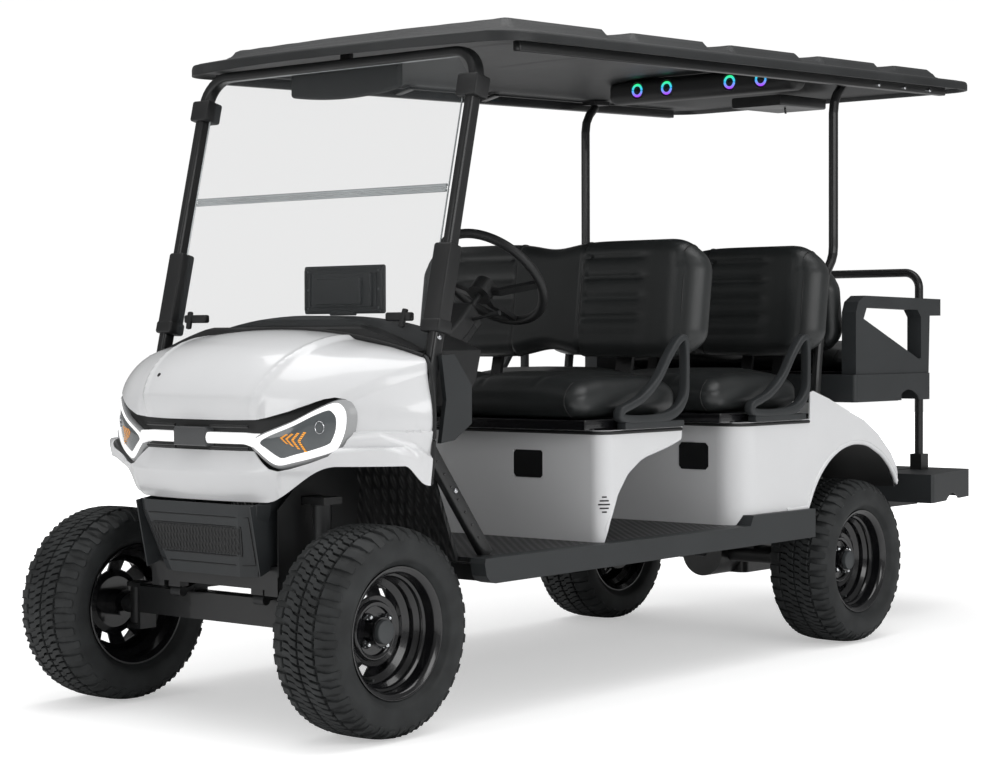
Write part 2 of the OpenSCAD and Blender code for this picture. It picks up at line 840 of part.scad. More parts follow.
module windshield() {
    lean = atan(0.235);
    // flat sheet of [side, height] points in the plane of the struts
    module sheet(points) {
        translate(pt(strut_a(sheet_low_z), 0, sheet_low_z))
            rotate([0, -lean, 0])
                rotate([90, 0, 90])
                    translate([0, 0, -sheet_t / 2])
                        linear_extrude(sheet_t)
                            polygon(points);
    }
    up = 1 / cos(lean);
    mid = (sheet_mid_z - sheet_low_z) * up;
    top = (sheet_top_z - sheet_low_z) * up;
    color("#dfe6ea")
    difference() {
        union() {
            sheet(concat(
                [for (k = [-12:12])
                    let (y = dash_half * k / 12)
                    [y, (min(dash_band, dash_dome(y)) + 2.6 - sheet_low_z) * up]],
                [[sheet_half, mid - 5], [-sheet_half, mid - 5]]));
            sheet([[-sheet_half, mid + 5], [sheet_half, mid + 5], [sheet_half, top - 50],
                [sheet_half - 42, top], [-sheet_half + 42, top], [-sheet_half, top - 50]]);
        }
    }
}

module side_cowl_panels() {
    color(moulded_grey)
    both_sides()
        side_profile([[215, 1000], [268, 1002], [339, 918], [339, 814], [268, 771],
            [212, 764], [234, 880]], strut_y + strut_t / 2 + seat_gap, 14);
}

// Open-topped shell: a side outline, a smaller one taken from it, and round front corners
module pod_shell(outer, inner, front, rear, r) {
    difference() {
        intersection() {
            side_profile(outer, -half_body, body_w);
            soft_block(front, rear, -half_body, half_body, 0, 1500, r);
        }
        intersection() {
            side_profile(inner, -half_body + skin, body_w - 2 * skin);
            soft_block(front + skin, rear - skin, -half_body + skin, half_body - skin,
                0, 1500, r - skin);
        }
    }
}

pocket_w = 112;
pocket_h = 84;

module pocket(a, y) {
    block(a - 5, a + 3, y, y + pocket_w, floor_z + 180, floor_z + 180 + pocket_h);
}

module front_seat_pod() {
    a = pod1_a;
    low = floor_z + seat_gap;
    color(shell_white)
    difference() {
        pod_shell(
            [[a, low], [a + 18, low], [a + 36, low + 62], [a + 74, low + 142],
                [a + 124, low + 200], [a + 200, low + 244], [a + 320, low + 270],
                [a + 396, low + 290], [a + 400, pod_top], [a, pod_top]],
            [[a + skin, low - 2], [a + 13, low - 2], [a + 31, low + 66], [a + 70, low + 147],
                [a + 121, low + 205], [a + 198, low + 249], [a + 318, low + 276],
                [a + 391, low + 295], [a + 395, pod_top + 5], [a + skin, pod_top + 5]],
            a, a + 520, 46);
        pocket(a, 262);
    }
}

tray_z = 822;
tray_top = 917;
tail_panel_a = wheelbase + 290;
deck_z = 868;
shelf_end = wheelbase - 150;
// Aft place of the sloping rear panel at height z
function tail_slope(z) = tail_panel_a - (z - 552) * 74 / 88;

module rear_body() {
    a = pod2_a;
    low = floor_z + rocker_step + seat_gap;
    t = tail_panel_a;
    color(shell_white)
    difference() {
        pod_shell(
            [[a, floor_z + seat_gap], [step_a - 4, floor_z + seat_gap], [step_a + 14, low],
                [rocker_end, low], [t - 4, 530], [t, 552], [t - 74, 640], [t - 166, 712],
                [t - 262, 762], [t - 354, 792], [t - 490, 840], [t - 590, deck_z],
                [t - 608, deck_z - 4], [t - 612, pod_top], [a, pod_top]],
            [[a + skin, floor_z - 2], [step_a, floor_z - 2], [t - 9, 400], [t - 9, 530],
                [t - 6, 550], [t - 79, 634], [t - 170, 706], [t - 265, 756],
                [t - 356, 786], [shelf_end, 814], [shelf_end, pod_top - skin],
                [t - 594, pod_top - skin], [t - 594, deck_z + 10], [a + skin, deck_z + 10]],
            a, t + 40, 90);
        // well over the shelf behind the cushion
        block(t - 600, shelf_end - skin, -half_body + skin, half_body - skin, pod_top, 900);
        both_sides() {
            cross_rod(arch_a, arch_z, arch_r, 300, half_body + 10);
            block(arch_a - arch_r + 20, t - 30, 300, half_body + 10, 300, arch_z + 20);
            for (p = rear_post_a)
                block(p - 6, p + bed_post_w + 6, rail_y - bed_post_w / 2 - 6,
                    rail_y + bed_post_w / 2 + 6, 500, 900);
        }
        block(t - 640, t - 160, -280, 280, floor_z - 60, 560);
        block(t - 40, t + 60, -rail_y - 60, rail_y + 60, 400, 560);
        pocket(a, 310);
    }
}

// ---- seats ----

seat_round = 34;

// Cushion: a closed form with rounded edges
module cushion(a0, a1, half_w, z0, z1, r) {
    hull()
        for (a = [a0 + r, a1 - r], y = [-half_w + r, half_w - r], z = [z0 + r, z1 - r])
            translate(pt(a, y, z))
                sphere(r = r, $fn = 20);
}

// Sloping back rest, its lower centre at aft a and height z, leaning aft by "lean" per mm
module back_rest(a, z, h, t, half_w, lean) {
    r = t / 2;
    hull()
        for (y = [-half_w + r, half_w - r], s = [r, h - r])
            translate(pt(a + lean * s, y, z + s))
                sphere(r = r, $fn = 28);
}

cushion_lead = 58;
seat_pitch = bench_pitch - 20;
seat1_a = pod1_a - cushion_lead;
seat2_a = seat1_a + seat_pitch;
back_z = seat_z + 184;
back_lean = 0.135;
back_set = cushion_d + 64;

module bench_bottom(a) {
    color(vinyl_black)
        cushion(a, a + cushion_d, cushion_w / 2, seat_z + 8, seat_z + cushion_t + 8, seat_round);
    color(moulded_grey)
        soft_block(a + 14, a + cushion_d - 70, -cushion_w / 2 - 8, cushion_w / 2 + 8,
            seat_z - rail_t, seat_z + 8 - seat_gap, 40);
}

module front_seat_bottom() {
    bench_bottom(seat1_a);
}

module middle_seat_bottom() {
    bench_bottom(seat2_a);
}

flip_a = tray_a + 122;

module rear_seat_bottom() {
    color(vinyl_black)
        cushion(flip_a, flip_a + rear_cushion_d, rear_cushion_w / 2, tray_top + 12,
            tray_top + 118, seat_round);
    color(moulded_grey)
        block(flip_a + 12, flip_a + rear_cushion_d - 4, -rear_cushion_w / 2 + 14,
            rear_cushion_w / 2 - 14, tray_top + seat_gap, tray_top + 12 - seat_gap);
}

rear_back_a = tray_a + 74;
rear_back_z = tray_top + 74;
rear_back_t = 96;
rear_back_lean = -0.12;
// Forward face of the rear-facing back rest, s above its lower edge
function rear_face(s) =
    rear_back_a + rear_back_lean * s - rear_back_t / 2 * norm([1, rear_back_lean]) - seat_gap;

module seat_backs() {
    color(vinyl_black) {
        for (a = [seat1_a, seat2_a])
            back_rest(a + back_set, back_z, back_h, back_t, back_w / 2, back_lean);
        back_rest(rear_back_a, rear_back_z, 316, rear_back_t, 505, rear_back_lean);
    }
}

loop_t = 36;

module seat_frames() {
    base = pod_top + seat_gap;
    // bracket from the shelf behind a cushion up the back of its back rest
    module bench_bracket(a, y) {
        c = a + back_set;
        face = c + back_t / 2 * norm([1, back_lean]) + seat_gap;
        upright = c + 32;
        side_profile([
            [a + cushion_d - 64, base], [a + cushion_d - 64, base + 8], [upright, base + 8],
            [upright, back_z - 84], [face + back_lean * 30, back_z + 30],
            [face + back_lean * 205, back_z + 205], [face + back_lean * 205 + 12, back_z + 205],
            [face + 12, back_z + 10], [upright + 16, back_z - 90], [upright + 14, base]], y, 40);
    }
    // triangular restraint beside a cushion, set from the back of the bench
    module hip_loop(cushion_a) {
        a = cushion_a + cushion_d - 364;
        z = pod_top + 20 + seat_gap;
        difference() {
            side_profile([[a - 45, z + 3], [a - 28, z + 42], [a - 8, z + 74], [a + 40, z + 100],
                [a + 262, z + 240], [a + 300, z + 254], [a + 332, z + 248], [a + 342, z + 224],
                [a + 342, z - 20], [a - 30, z - 20]], half_body - 20, loop_t);
            side_profile([[a + 100, z + 106], [a + 264, z + 211], [a + 292, z + 216],
                [a + 304, z + 202], [a + 304, z + 50], [a + 286, z + 32], [a + 104, z + 32],
                [a + 78, z + 46], [a + 76, z + 86]], half_body - 40, loop_t + 40);
        }
    }
    color("#2e3032") {
        for (a = [seat1_a, seat2_a]) {
            for (y = [-290, 250])
                bench_bracket(a, y);
            both_sides()
                hip_loop(a);
        }
        // brackets of the rear-facing back rest, standing on the tray
        for (y = [-290, 250])
            side_profile([[tray_a + 2, tray_top + seat_gap], [tray_a + 24, tray_top + seat_gap],
                [rear_face(0), rear_back_z], [rear_face(110), rear_back_z + 110],
                [rear_face(110) - 12, rear_back_z + 110], [rear_face(0) - 12, rear_back_z]],
                y, 40);
    }
}

tray_half = 590;

module rear_seat_tray() {
    a = tray_a;
    b = tray_a + tray_l;
    wall = 6;
    color(moulded_grey)
    difference() {
        soft_block(a, b, -tray_half, tray_half, tray_z, tray_top, 14);
        soft_block(a + wall, b - wall, -tray_half + wall, tray_half - wall,
            tray_z - 10, tray_top - wall, 10);
        // arches in the side skirts over the footwell
        both_sides()
            cross_rod(a + 370, tray_z - 62, 100, tray_half - 60, tray_half + 10);
    }
    // cross members that rest on the chassis uprights
    color(frame_black)
    for (p = rear_post_a)
        block(p, p + bed_post_w, -tray_half + wall + 4, tray_half - wall - 4,
            tray_z + seat_gap, tray_top - wall - seat_gap);
}

module rear_armrests() {
    a = tray_a + 12;
    z = tray_top + seat_gap;
    color(moulded_grey)
    both_sides()
        difference() {
            side_profile([[a, z], [a, z + 214], [a + 16, z + 250], [a + 60, z + 272],
                [a + 600, z + 266], [a + 600, z + 206], [a + 520, z + 206], [a + 512, z]],
                tray_half - 62, 56);
            side_profile([[a + 52, z + 192], [a + 74, z + 232], [a + 430, z + 226],
                [a + 456, z + 200], [a + 456, z + 52], [a + 440, z + 50]],
                tray_half - 80, 90);
        }
}

foot_z = 537;
foot_t = 8;
foot_l = 430;

grab_y = 300;

module footrest() {
    a = tail_a - foot_l;
    wide = 505;
    low = foot_z - 106;
    function deck(g) = [
        [a + g, -wide + g], [a + 26 + g, -wide + g], [tail_a - g, -wide + 70 + g],
        [tail_a - g, wide - 70 - g], [a + 26 + g, wide - g], [a + g, wide - g]];
    color(moulded_grey)
    union() {
        difference() {
            plan_profile(deck(0), low, foot_z - low);
            plan_profile(deck(8), low - 10, foot_z - foot_t - low + 10);
            // notch for the arms of the frame, and the bowed lower edge of the sides
            both_sides()
                block(a - 10, a + 20, rail_y - 24, rail_y + 24, low - 10, foot_z - foot_t);
            cross_rod(tail_a - 190, low - 110, 134, -wide - 10, wide + 10);
        }
        // raised tread between the hoop's feet
        block(a + 34, tail_a - 26, 40 - grab_y, grab_y - 40, foot_z - 1, foot_z + 2);
    }
}

grab_a = tail_a - 148;
grab_top = 1294;
grab_bend = 60;

module grab_bar() {
    color("#18191a")
    union() {
        both_sides() {
            post(grab_a, grab_y, tube_r, foot_z + seat_gap, grab_top - grab_bend);
            translate(pt(grab_a, grab_y - grab_bend, grab_top - grab_bend))
                rotate([0, -90, 0])
                    rotate([0, 0, 0])
                        rotate_extrude(angle = 90)
                            translate([grab_bend, 0])
                                circle(r = tube_r);
            block(grab_a - 26, grab_a + 30, grab_y - 24, grab_y + 24,
                foot_z + seat_gap, foot_z + 60);
        }
        cross_rod(grab_a, grab_top, tube_r, -grab_y + grab_bend, grab_y - grab_bend);
    }
}

// ---- roof ----

function roof_stations() = [0, 0.008, 0.0125, 0.03, 0.06, 0.1, 0.16, 0.19, 0.22, 0.3, 0.38, 0.41, 0.44,
    0.52, 0.6, 0.63, 0.66, 0.74, 0.82, 0.85, 0.88, 0.93, 0.965, 0.986, 1];
function roof_lanes() = [-1, -0.955, -0.93, -0.86, -0.76, -0.67, -0.6, -0.45, -0.3, -0.15, 0,
    0.15, 0.3, 0.45, 0.6, 0.67, 0.76, 0.86, 0.93, 0.955, 1];

corner_r = 130;
function roof_half(a) =
    let (d = min(a - roof_front, roof_front + roof_l - a), k = max(0, corner_r - d))
    roof_w / 2 - corner_r + sqrt(max(0, corner_r * corner_r - k * k));
// Rise of the dome across the roof and towards its ends
function dome_at(a, y) =
    let (s = min(1, abs(y) / dome_half), u = (a - roof_front) / roof_l)
    dome * pow(1 - pow(s, 4), 0.8) * smooth(u / 0.2) * smooth((1 - u) / 0.12);
// Moulded panels raised on the top
function panel_at(u, v) =
    let (w = 0.14, s = min([for (c = [0.02, 0.19, 0.41, 0.63, 0.85]) abs(u - c) / 0.03]))
    24 * smooth(s - 0.2) * smooth((0.72 - abs(v)) / 0.08) * smooth((u - 0.03) / 0.03);

module roof() {
    us = roof_stations();
    vs = roof_lanes();
    function plan(u, v) =
        let (a = roof_front + roof_l * u, bow = 70 * v * v * (1 - smooth(u / 0.35)))
        [a + bow, v * roof_half(a)];
    function edge(u, v) = u <= 0.008 || u >= 0.986 || abs(v) >= 0.95;
    function rim_only(u, v) = u == 0 || u == 1 || abs(v) == 1;
    function over(u, v) =
        let (p = plan(u, v))
        pt(p[0], p[1], roof_edge(p[0]) + roof_lip - (rim_only(u, v) ? 8 : 0)
            + dome_at(p[0], p[1] * 0.72) + panel_at(u, v));
    function under(u, v) =
        let (p = plan(u, v))
        pt(p[0], p[1], roof_edge(p[0]) + (edge(u, v) ? 0 : land + dome_at(p[0], p[1])));
    top = [for (v = vs, u = us) over(u, v)];
    bottom = [for (v = vs, u = us) under(u, v)];
    color(roof_grey)
        grid_shell(top, bottom, len(us), len(vs));
}

rear_post_y = 532;
roof_post_a = wheelbase - 58;

module roof_posts() {
    p = roof_post_a;
    top = roof_edge(p + 66) + land - seat_gap;
    path = [for (q = [
        [p - 122, pod_top + 12], [p - 118, pod_top + 60], [p - 104, 960], [p - 98, 1000],
        [p - 60, 1238], [p - 50, 1262], [p - 14, 1306], [p - 3, 1330], [p, 1356],
        [p, top - 120], [p + 6, top - 84], [p + 24, top - 54], [p + 60, top - 20]])
        pt(q[0], rear_post_y, q[1])];
    color(body_black)
    both_sides() {
        swept_tube(path, tube_r);
        side_profile([[p + 20, roof_edge(p + 20) + land - seat_gap],
            [p + 110, roof_edge(p + 110) + land - seat_gap],
            [p + 110, top - 12], [p + 20, top - 16]], rear_post_y - 30, 60);
        block(p - 149, p - 102, rear_post_y - 26, rear_post_y + 26,
            pod_top + seat_gap, pod_top + 14);
    }
}

module sound_bar() {
    a = roof_post_a - 40;
    half = 0.6 * roof_w / 2;
    low = roof_edge(a) - 14;
    // its top follows the roof's underside
    top = [for (v = [-0.6:0.15:0.61])
        let (y = v * roof_w / 2)
        [y, min([for (d = [0, 45, 90]) roof_edge(a + d) + land + dome_at(a + d, y)]) - 0.8]];
    color("#1a1b1d")
        front_profile(concat([[half, low + 14], [half - 14, low], [-half + 14, low],
            [-half, low + 14]], top), a, 90);
}

module rear_view_mirror() {
    a = 450;
    z = roof_edge(a) - 112;
    color("#18191b")
    union() {
        plan_profile([for (k = [-8:8]) [a - 16 + 14 * pow(k / 8, 2), 220 * k / 8]],
            z, 66);
        block(a - 8, a + 14, -216, 216, z + 4, z + 62);
        post(a, 0, 8, z + 60, roof_edge(a) + land + dome_at(a, 0) - 0.8);
    }
}

chassis_frame();
front_axle();
knuckle();  // left_knuckle
mirror([0, 1, 0]) knuckle();  // right_knuckle
tie_rod();
rear_axle();
springs_and_shocks();
battery_pack();
at_corner(true, true) rim();  // rim_front_left
at_corner(true, false) rim();  // rim_front_right
at_corner(false, true) rim();  // rim_rear_left
at_corner(false, false) rim();  // rim_rear_right
at_corner(true, true) tyre();  // tyre_front_left
at_corner(true, false) tyre();  // tyre_front_right
at_corner(false, true) tyre();  // tyre_rear_left
at_corner(false, false) tyre();  // tyre_rear_right
floor_pan();
rocker_panels();
front_cowl();
front_fascia();
lamps();
splash_panels();
dash();
display_screen();
steering_column();
steering_wheel();
pedals();
windshield_struts();
windshield();
side_cowl_panels();
front_seat_pod();
rear_body();
front_seat_bottom();
middle_seat_bottom();
rear_seat_bottom();
seat_backs();
seat_frames();
rear_seat_tray();
rear_armrests();
grab_bar();
footrest();
roof();
roof_posts();
sound_bar();
rear_view_mirror();
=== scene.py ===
# Six-seat lifted golf cart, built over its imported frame. Metres, +X forward,
# +Y to the driver's left, +Z up, the ground at Z = 0.
import math
import bpy
import bmesh
from mathutils import Vector, Matrix
from mathutils.bvhtree import BVHTree


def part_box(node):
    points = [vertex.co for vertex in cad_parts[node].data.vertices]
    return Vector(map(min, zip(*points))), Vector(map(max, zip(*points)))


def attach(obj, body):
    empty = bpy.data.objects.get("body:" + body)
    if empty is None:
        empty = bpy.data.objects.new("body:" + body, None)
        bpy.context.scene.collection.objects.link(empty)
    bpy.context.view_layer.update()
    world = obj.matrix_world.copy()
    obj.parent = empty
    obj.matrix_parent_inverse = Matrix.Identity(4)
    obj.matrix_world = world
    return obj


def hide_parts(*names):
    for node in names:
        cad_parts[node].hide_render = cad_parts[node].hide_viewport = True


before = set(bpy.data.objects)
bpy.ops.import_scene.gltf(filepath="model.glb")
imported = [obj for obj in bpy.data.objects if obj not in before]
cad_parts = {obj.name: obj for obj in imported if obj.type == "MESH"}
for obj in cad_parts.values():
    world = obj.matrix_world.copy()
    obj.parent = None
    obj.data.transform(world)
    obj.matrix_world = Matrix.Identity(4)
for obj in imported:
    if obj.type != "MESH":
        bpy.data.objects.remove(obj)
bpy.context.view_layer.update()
both_sides = (("left", 1), ("right", -1))

# ---- camera ----
# A long lens at knee-to-chest height, off the cart's front left corner.
camera = bpy.data.objects.new("camera", bpy.data.cameras.new("camera"))
bpy.context.collection.objects.link(camera)
camera.data.lens = 78.66
camera.data.sensor_width = 36
camera.data.clip_end = 60
camera.location = (5.764, 4.408, 1.043)
looking = Vector((-0.76941, -0.63838, -0.01970))
camera.rotation_euler = (looking.to_track_quat("-Z", "Y").to_matrix()
                         @ Matrix.Rotation(-0.003, 3, "Z")).to_euler()
bpy.context.scene.camera = camera

# ---- studio ----
# A pale floor that runs out under a white sky, a broad soft lamp overhead and
# two long side lamps that draw the highlights along the panels.


def add_node(tree, kind, values=None):
    """A shader node with its own input values set."""
    made = tree.nodes.new("ShaderNode" + kind)
    for socket, value in (values or {}).items():
        made.inputs[socket].default_value = value
    return made


def wire(tree, *links):
    """Joins sockets, each link as (from node, its output, to node, its input)."""
    for source, out_name, target, in_name in links:
        tree.links.new(source.outputs[out_name], target.inputs[in_name])


def new_material(name, values=None):
    """A material with values set on its shader, with its node tree and shader."""
    made = bpy.data.materials.new(name)
    made.use_nodes = True
    shader = made.node_tree.nodes["Principled BSDF"]
    for socket, value in (values or {}).items():
        shader.inputs[socket].default_value = value
    return made, made.node_tree, shader


sky = bpy.data.worlds.new("sky")
sky.use_nodes = True
tree = sky.node_tree
bright = tree.nodes["Background"]
bright.inputs["Color"].default_value = (1, 1, 1, 1)
seen = add_node(tree, "LightPath")
mirrored = add_node(tree, "MapRange", {"To Min": 0.62, "To Max": 0.22})
direct = add_node(tree, "Mix", {"B": 1.02})
wire(tree, (seen, "Is Glossy Ray", mirrored, "Value"), (seen, "Is Camera Ray", direct, "Factor"),
     (mirrored, "Result", direct, "A"), (direct, "Result", bright, "Strength"))
bpy.context.scene.world = sky
bpy.context.scene.view_settings.view_transform = "Standard"


def soft_lamp(name, place, aim, size, watts):
    """A rectangular area lamp at a place, turned to an aim."""
    data = bpy.data.lights.new(name, "AREA")
    data.shape = "RECTANGLE"
    data.size, data.size_y = size
    data.energy = watts
    lamp = bpy.data.objects.new(name, data)
    lamp.location = place
    lamp.rotation_euler = (Vector(aim) - Vector(place)).to_track_quat("-Z", "Y").to_euler()
    bpy.context.collection.objects.link(lamp)


soft_lamp("overhead_lamp", (0.4, 0.3, 4.6), (0, 0, 0.6), (5.5, 3.2), 130)
soft_lamp("left_lamp", (1.2, 5.2, 2.4), (0, 0, 0.8), (4.5, 1.6), 66)
soft_lamp("front_lamp", (5.6, -0.6, 2.2), (0.8, 0, 0.8), (1.6, 2.6), 26)

# The floor glows for camera rays only. This painted light is weakest near the cart and rises to white farther
# out, where it melts into the sky.
glowing_floor, tree, shader = new_material("glowing_floor", {
    "Base Color": (0.86, 0.86, 0.86, 1), "Roughness": 0.8, "Specular IOR Level": 0.1,
    "Emission Color": (1, 1, 1, 1)})
seen = add_node(tree, "LightPath")
lift = add_node(tree, "MapRange", {"To Min": 0.0})
spot = add_node(tree, "NewGeometry")
reach = add_node(tree, "VectorMath")
reach.operation = "LENGTH"
glow_by_reach = add_node(tree, "MapRange", {"From Min": 2.4, "From Max": 5.5, "To Min": 0.42, "To Max": 1.05})
wire(tree, (spot, "Position", reach, 0), (reach, "Value", glow_by_reach, "Value"), (glow_by_reach, "Result", lift, "To Max"),
     (seen, "Is Camera Ray", lift, "Value"), (lift, "Result", shader, "Emission Strength"))
disc = bmesh.new()
bmesh.ops.create_circle(disc, cap_ends=True, segments=64, radius=24)
floor_mesh = bpy.data.meshes.new("studio_floor")
disc.to_mesh(floor_mesh)
disc.free()
studio_floor = bpy.data.objects.new("studio_floor", floor_mesh)
bpy.context.collection.objects.link(studio_floor)
floor_mesh.materials.append(glowing_floor)

# ---- tyres ----
# Four tubeless all-terrain tyres of black rubber on 14 inch rims: two rows of
# slanted tread blocks down the middle and a lug on each shoulder that wraps
# round onto the sidewall.
wheelbase = 2.35
tyre_outer = 0.2795
tread_mid_r = 0.2755
tread_depth = 0.0085
tread_pitches = 40
# (distance from the middle, radius) from the crown of the tread to the bead
tyre_section = [(0, 0.271), (0.04, 0.2705), (0.070, 0.269), (0.086, 0.2660), (0.098, 0.2600),
                (0.1065, 0.2510), (0.1115, 0.2410), (0.1145, 0.2260), (0.1155, 0.2120), (0.1142, 0.2015),
                (0.1110, 0.1925), (0.1062, 0.1880), (0.1015, 0.1845), (0.0950, 0.1790), (0.0890, 0.1748),
                (0.0840, 0.1690), (0.0800, 0.1618)]


def rubber(name, colour, roughness):
    """Moulded rubber: a fine mould grain, and dusty grey in slow random patches."""
    made, tree, shader = new_material(name, {"Roughness": roughness, "Specular IOR Level": 0.4})
    place = add_node(tree, "TexCoord")
    dust = add_node(tree, "TexNoise", {"Scale": 14, "Detail": 6})
    shade = add_node(tree, "ValToRGB")
    low, high = shade.color_ramp.elements
    low.position, low.color = 0.35, (*colour, 1)
    high.position, high.color = 0.75, (*[c * 1.7 + 0.004 for c in colour], 1)
    grain = add_node(tree, "TexNoise", {"Scale": 700})
    bump = add_node(tree, "Bump", {"Strength": 0.25, "Distance": 0.0006})
    wire(tree, (place, "Object", dust, "Vector"), (place, "Object", grain, "Vector"),
         (dust, "Fac", shade, "Fac"), (shade, "Color", shader, "Base Color"),
         (grain, "Fac", bump, "Height"), (bump, "Normal", shader, "Normal"))
    return made


def piece(name, verts, faces, finish, body, slot, crease=35):
    """A new mesh piece, smooth except where its faces meet at more than crease degrees."""
    mesh = bpy.data.meshes.new(name)
    mesh.from_pydata([tuple(v) for v in verts], [], faces)
    mesh.validate()
    mesh.update()
    mesh.materials.append(finish)
    mesh.polygons.foreach_set("use_smooth", [True] * len(mesh.polygons))
    mesh.set_sharp_from_angle(angle=math.radians(crease))
    made = bpy.data.objects.new(name, mesh)
    bpy.context.collection.objects.link(made)
    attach(made, body)
    return made


def ring_faces(rings, sides, closed=False):
    """Quads between one ring of points and the next, and back to the first if closed."""
    return [(j * sides + k, j * sides + (k + 1) % sides,
             (j + 1) % rings * sides + (k + 1) % sides, (j + 1) % rings * sides + k)
            for j in range(rings if closed else rings - 1) for k in range(sides)]


def on_wheel(node, verts, faces, across=0.0, up=0.0):
    """A left wheel's shape about its own centre, set at a node's middle, mirrored on the right."""
    low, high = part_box(node)
    hub = (low + high) / 2
    side = 1 if hub.y > 0 else -1
    spots = [(hub.x + x + across, hub.y + side * y, hub.z + z + up) for x, y, z in verts]
    return spots, faces if side > 0 else [tuple(reversed(f)) for f in faces]


def section_point(run, height):
    """Point on the tyre's section, run along it from the middle, height above it."""
    left = abs(run)
    for (w0, r0), (w1, r1) in zip(tyre_section, tyre_section[1:]):
        step = math.hypot(w1 - w0, r1 - r0)
        if left <= step:
            break
        left -= step
    t = left / step
    w = w0 + (w1 - w0) * t - (r1 - r0) / step * height
    r = r0 + (r1 - r0) * t + (w1 - w0) / step * height
    return (w if run >= 0 else -w), r


def tread_block(verts, faces, outline, turn, flip, height_at):
    """One block: its outline of (round, across) points, raised with sloping walls."""
    mid = [sum(p[k] for p in outline) / len(outline) for k in (0, 1)]
    rings = ((1.05, None), (0.97, -0.0012), (0.90, 0.0))
    start = len(verts)
    for grow, drop in rings:
        for s, p in outline:
            s, p = mid[0] + (s - mid[0]) * grow, mid[1] + (p - mid[1]) * grow
            h = -0.001 if drop is None else height_at(p) + drop
            w, r = section_point(flip * p, h)
            a = turn + flip * s / tread_mid_r
            verts.append((r * math.sin(a), w, r * math.cos(a)))
    n = len(outline)
    for k in range(2):
        for i in range(n):
            a, b = start + k * n + i, start + k * n + (i + 1) % n
            faces.append((a, b, b + n, a + n))
    faces.append(tuple(start + 2 * n + i for i in range(n)))


def tyre_shape():
    """Verts and faces of a left tyre about its own centre, carcass and tread."""
    verts, faces = [], []
    section = [(-w, r) for w, r in reversed(tyre_section)] + tyre_section[1:]
    fine = []
    for (w0, r0), (w1, r1) in zip(section, section[1:]):
        fine += [(w0, r0), ((w0 + w1) / 2, (r0 + r1) / 2)]
    fine.append(section[-1])
    turns, n = 120, len(fine)
    for k in range(turns):
        a = 2 * math.pi * k / turns
        verts += [(r * math.sin(a), w, r * math.cos(a)) for w, r in fine]
    faces += ring_faces(turns, n, True)
    pitch = 2 * math.pi / tread_pitches
    inner_half = [(0, 0.003), (0.0155, 0.003), (0.0215, 0.020), (0.0310, 0.0265), (0.0370, 0.052),
                  (0.0225, 0.054), (0.0155, 0.030), (0.0060, 0.0235)]
    outer_half = [(s + 0.0205, p) for s, p in inner_half]
    for k in range(tread_pitches):
        for flip, lag in ((1, 0), (-1, 0.37)):
            turn = (k + lag) * pitch
            for outline in (inner_half, outer_half):
                tread_block(verts, faces, outline, turn, flip, lambda p: tread_depth - 0.0002)
            reach = 0.122 if k % 2 else 0.114
            lug = [(0.029, 0.060), (0.056, 0.0585), (0.058, 0.088), (0.0565, reach - 0.004), (0.053, reach),
                   (0.036, reach), (0.032, reach - 0.004), (0.0335, 0.088)]
            tread_block(verts, faces, lug, turn, flip,
                        lambda p: tread_depth - 0.0006 - 0.0048 * max(0, min(1, (p - 0.088) / 0.03)))
    return verts, faces


tyre_rubber = rubber("tyre_rubber", (0.016, 0.0175, 0.018), 0.62)
tyre_verts, tyre_faces = tyre_shape()
corners = ("front_left", "front_right", "rear_left", "rear_right")
for corner in corners:
    tyre = piece("tread_tyre_" + corner, *on_wheel("tyre_" + corner, tyre_verts, tyre_faces), tyre_rubber,
                 "wheel_" + corner, "tyre", 28)
    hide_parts("tyre_" + corner)

# ---- rims ----
# Deep-dished 14 inch steel rims in gloss black with eight slots, four chrome
# lug nuts on a 101.6 mm circle, a grey grease cap and a rubber valve stem.


def painted(name, colour, roughness, coat=0.0, metal=0.0, grain=900, depth=0.0002, drift=0.12):
    """Paint or moulded plastic: slow drift of shade and gloss, and a fine surface grain."""
    made, tree, shader = new_material(name, {"Metallic": metal, "Coat Weight": coat,
                                             "Coat Roughness": 0.04})
    place = add_node(tree, "TexCoord")
    cloud = add_node(tree, "TexNoise", {"Scale": 5, "Detail": 5})
    shade = add_node(tree, "ValToRGB")
    low, high = shade.color_ramp.elements
    low.position, low.color = 0.3, (*[c * (1 - drift) for c in colour], 1)
    high.position, high.color = 0.7, (*[min(1, c * (1 + drift)) for c in colour], 1)
    gloss = add_node(tree, "MapRange", {"To Min": roughness * 0.9, "To Max": min(1, roughness * 1.12)})
    fine = add_node(tree, "TexNoise", {"Scale": grain, "Detail": 3})
    bump = add_node(tree, "Bump", {"Strength": 0.5, "Distance": depth})
    wire(tree, (place, "Object", cloud, "Vector"), (place, "Object", fine, "Vector"),
         (cloud, "Fac", shade, "Fac"), (shade, "Color", shader, "Base Color"),
         (cloud, "Fac", gloss, "Value"), (gloss, "Result", shader, "Roughness"),
         (fine, "Fac", bump, "Height"), (bump, "Normal", shader, "Normal"))
    return made


def wear(node, finish, crease=32):
    """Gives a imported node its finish, smooth across its curved faces."""
    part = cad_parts[node]
    for held in part.material_slots:
        held.material = finish
    if not part.material_slots:
        part.data.materials.append(finish)
    part.data.polygons.foreach_set("use_smooth", [True] * len(part.data.polygons))
    part.data.set_sharp_from_angle(angle=math.radians(crease))


def turned(section, turns):
    """Verts and faces of a (height, radius) section turned about the Y axis."""
    verts, faces = [], []
    n = len(section)
    for k in range(turns):
        a = 2 * math.pi * k / turns
        verts += [(r * math.sin(a), w, r * math.cos(a)) for w, r in section]
    for k in range(turns):
        for i in range(n - 1):
            a, b = k * n + i, k * n + i + 1
            c, d = ((k + 1) % turns) * n + i + 1, ((k + 1) % turns) * n + i
            faces.append((a, b, c, d))
    return verts, faces


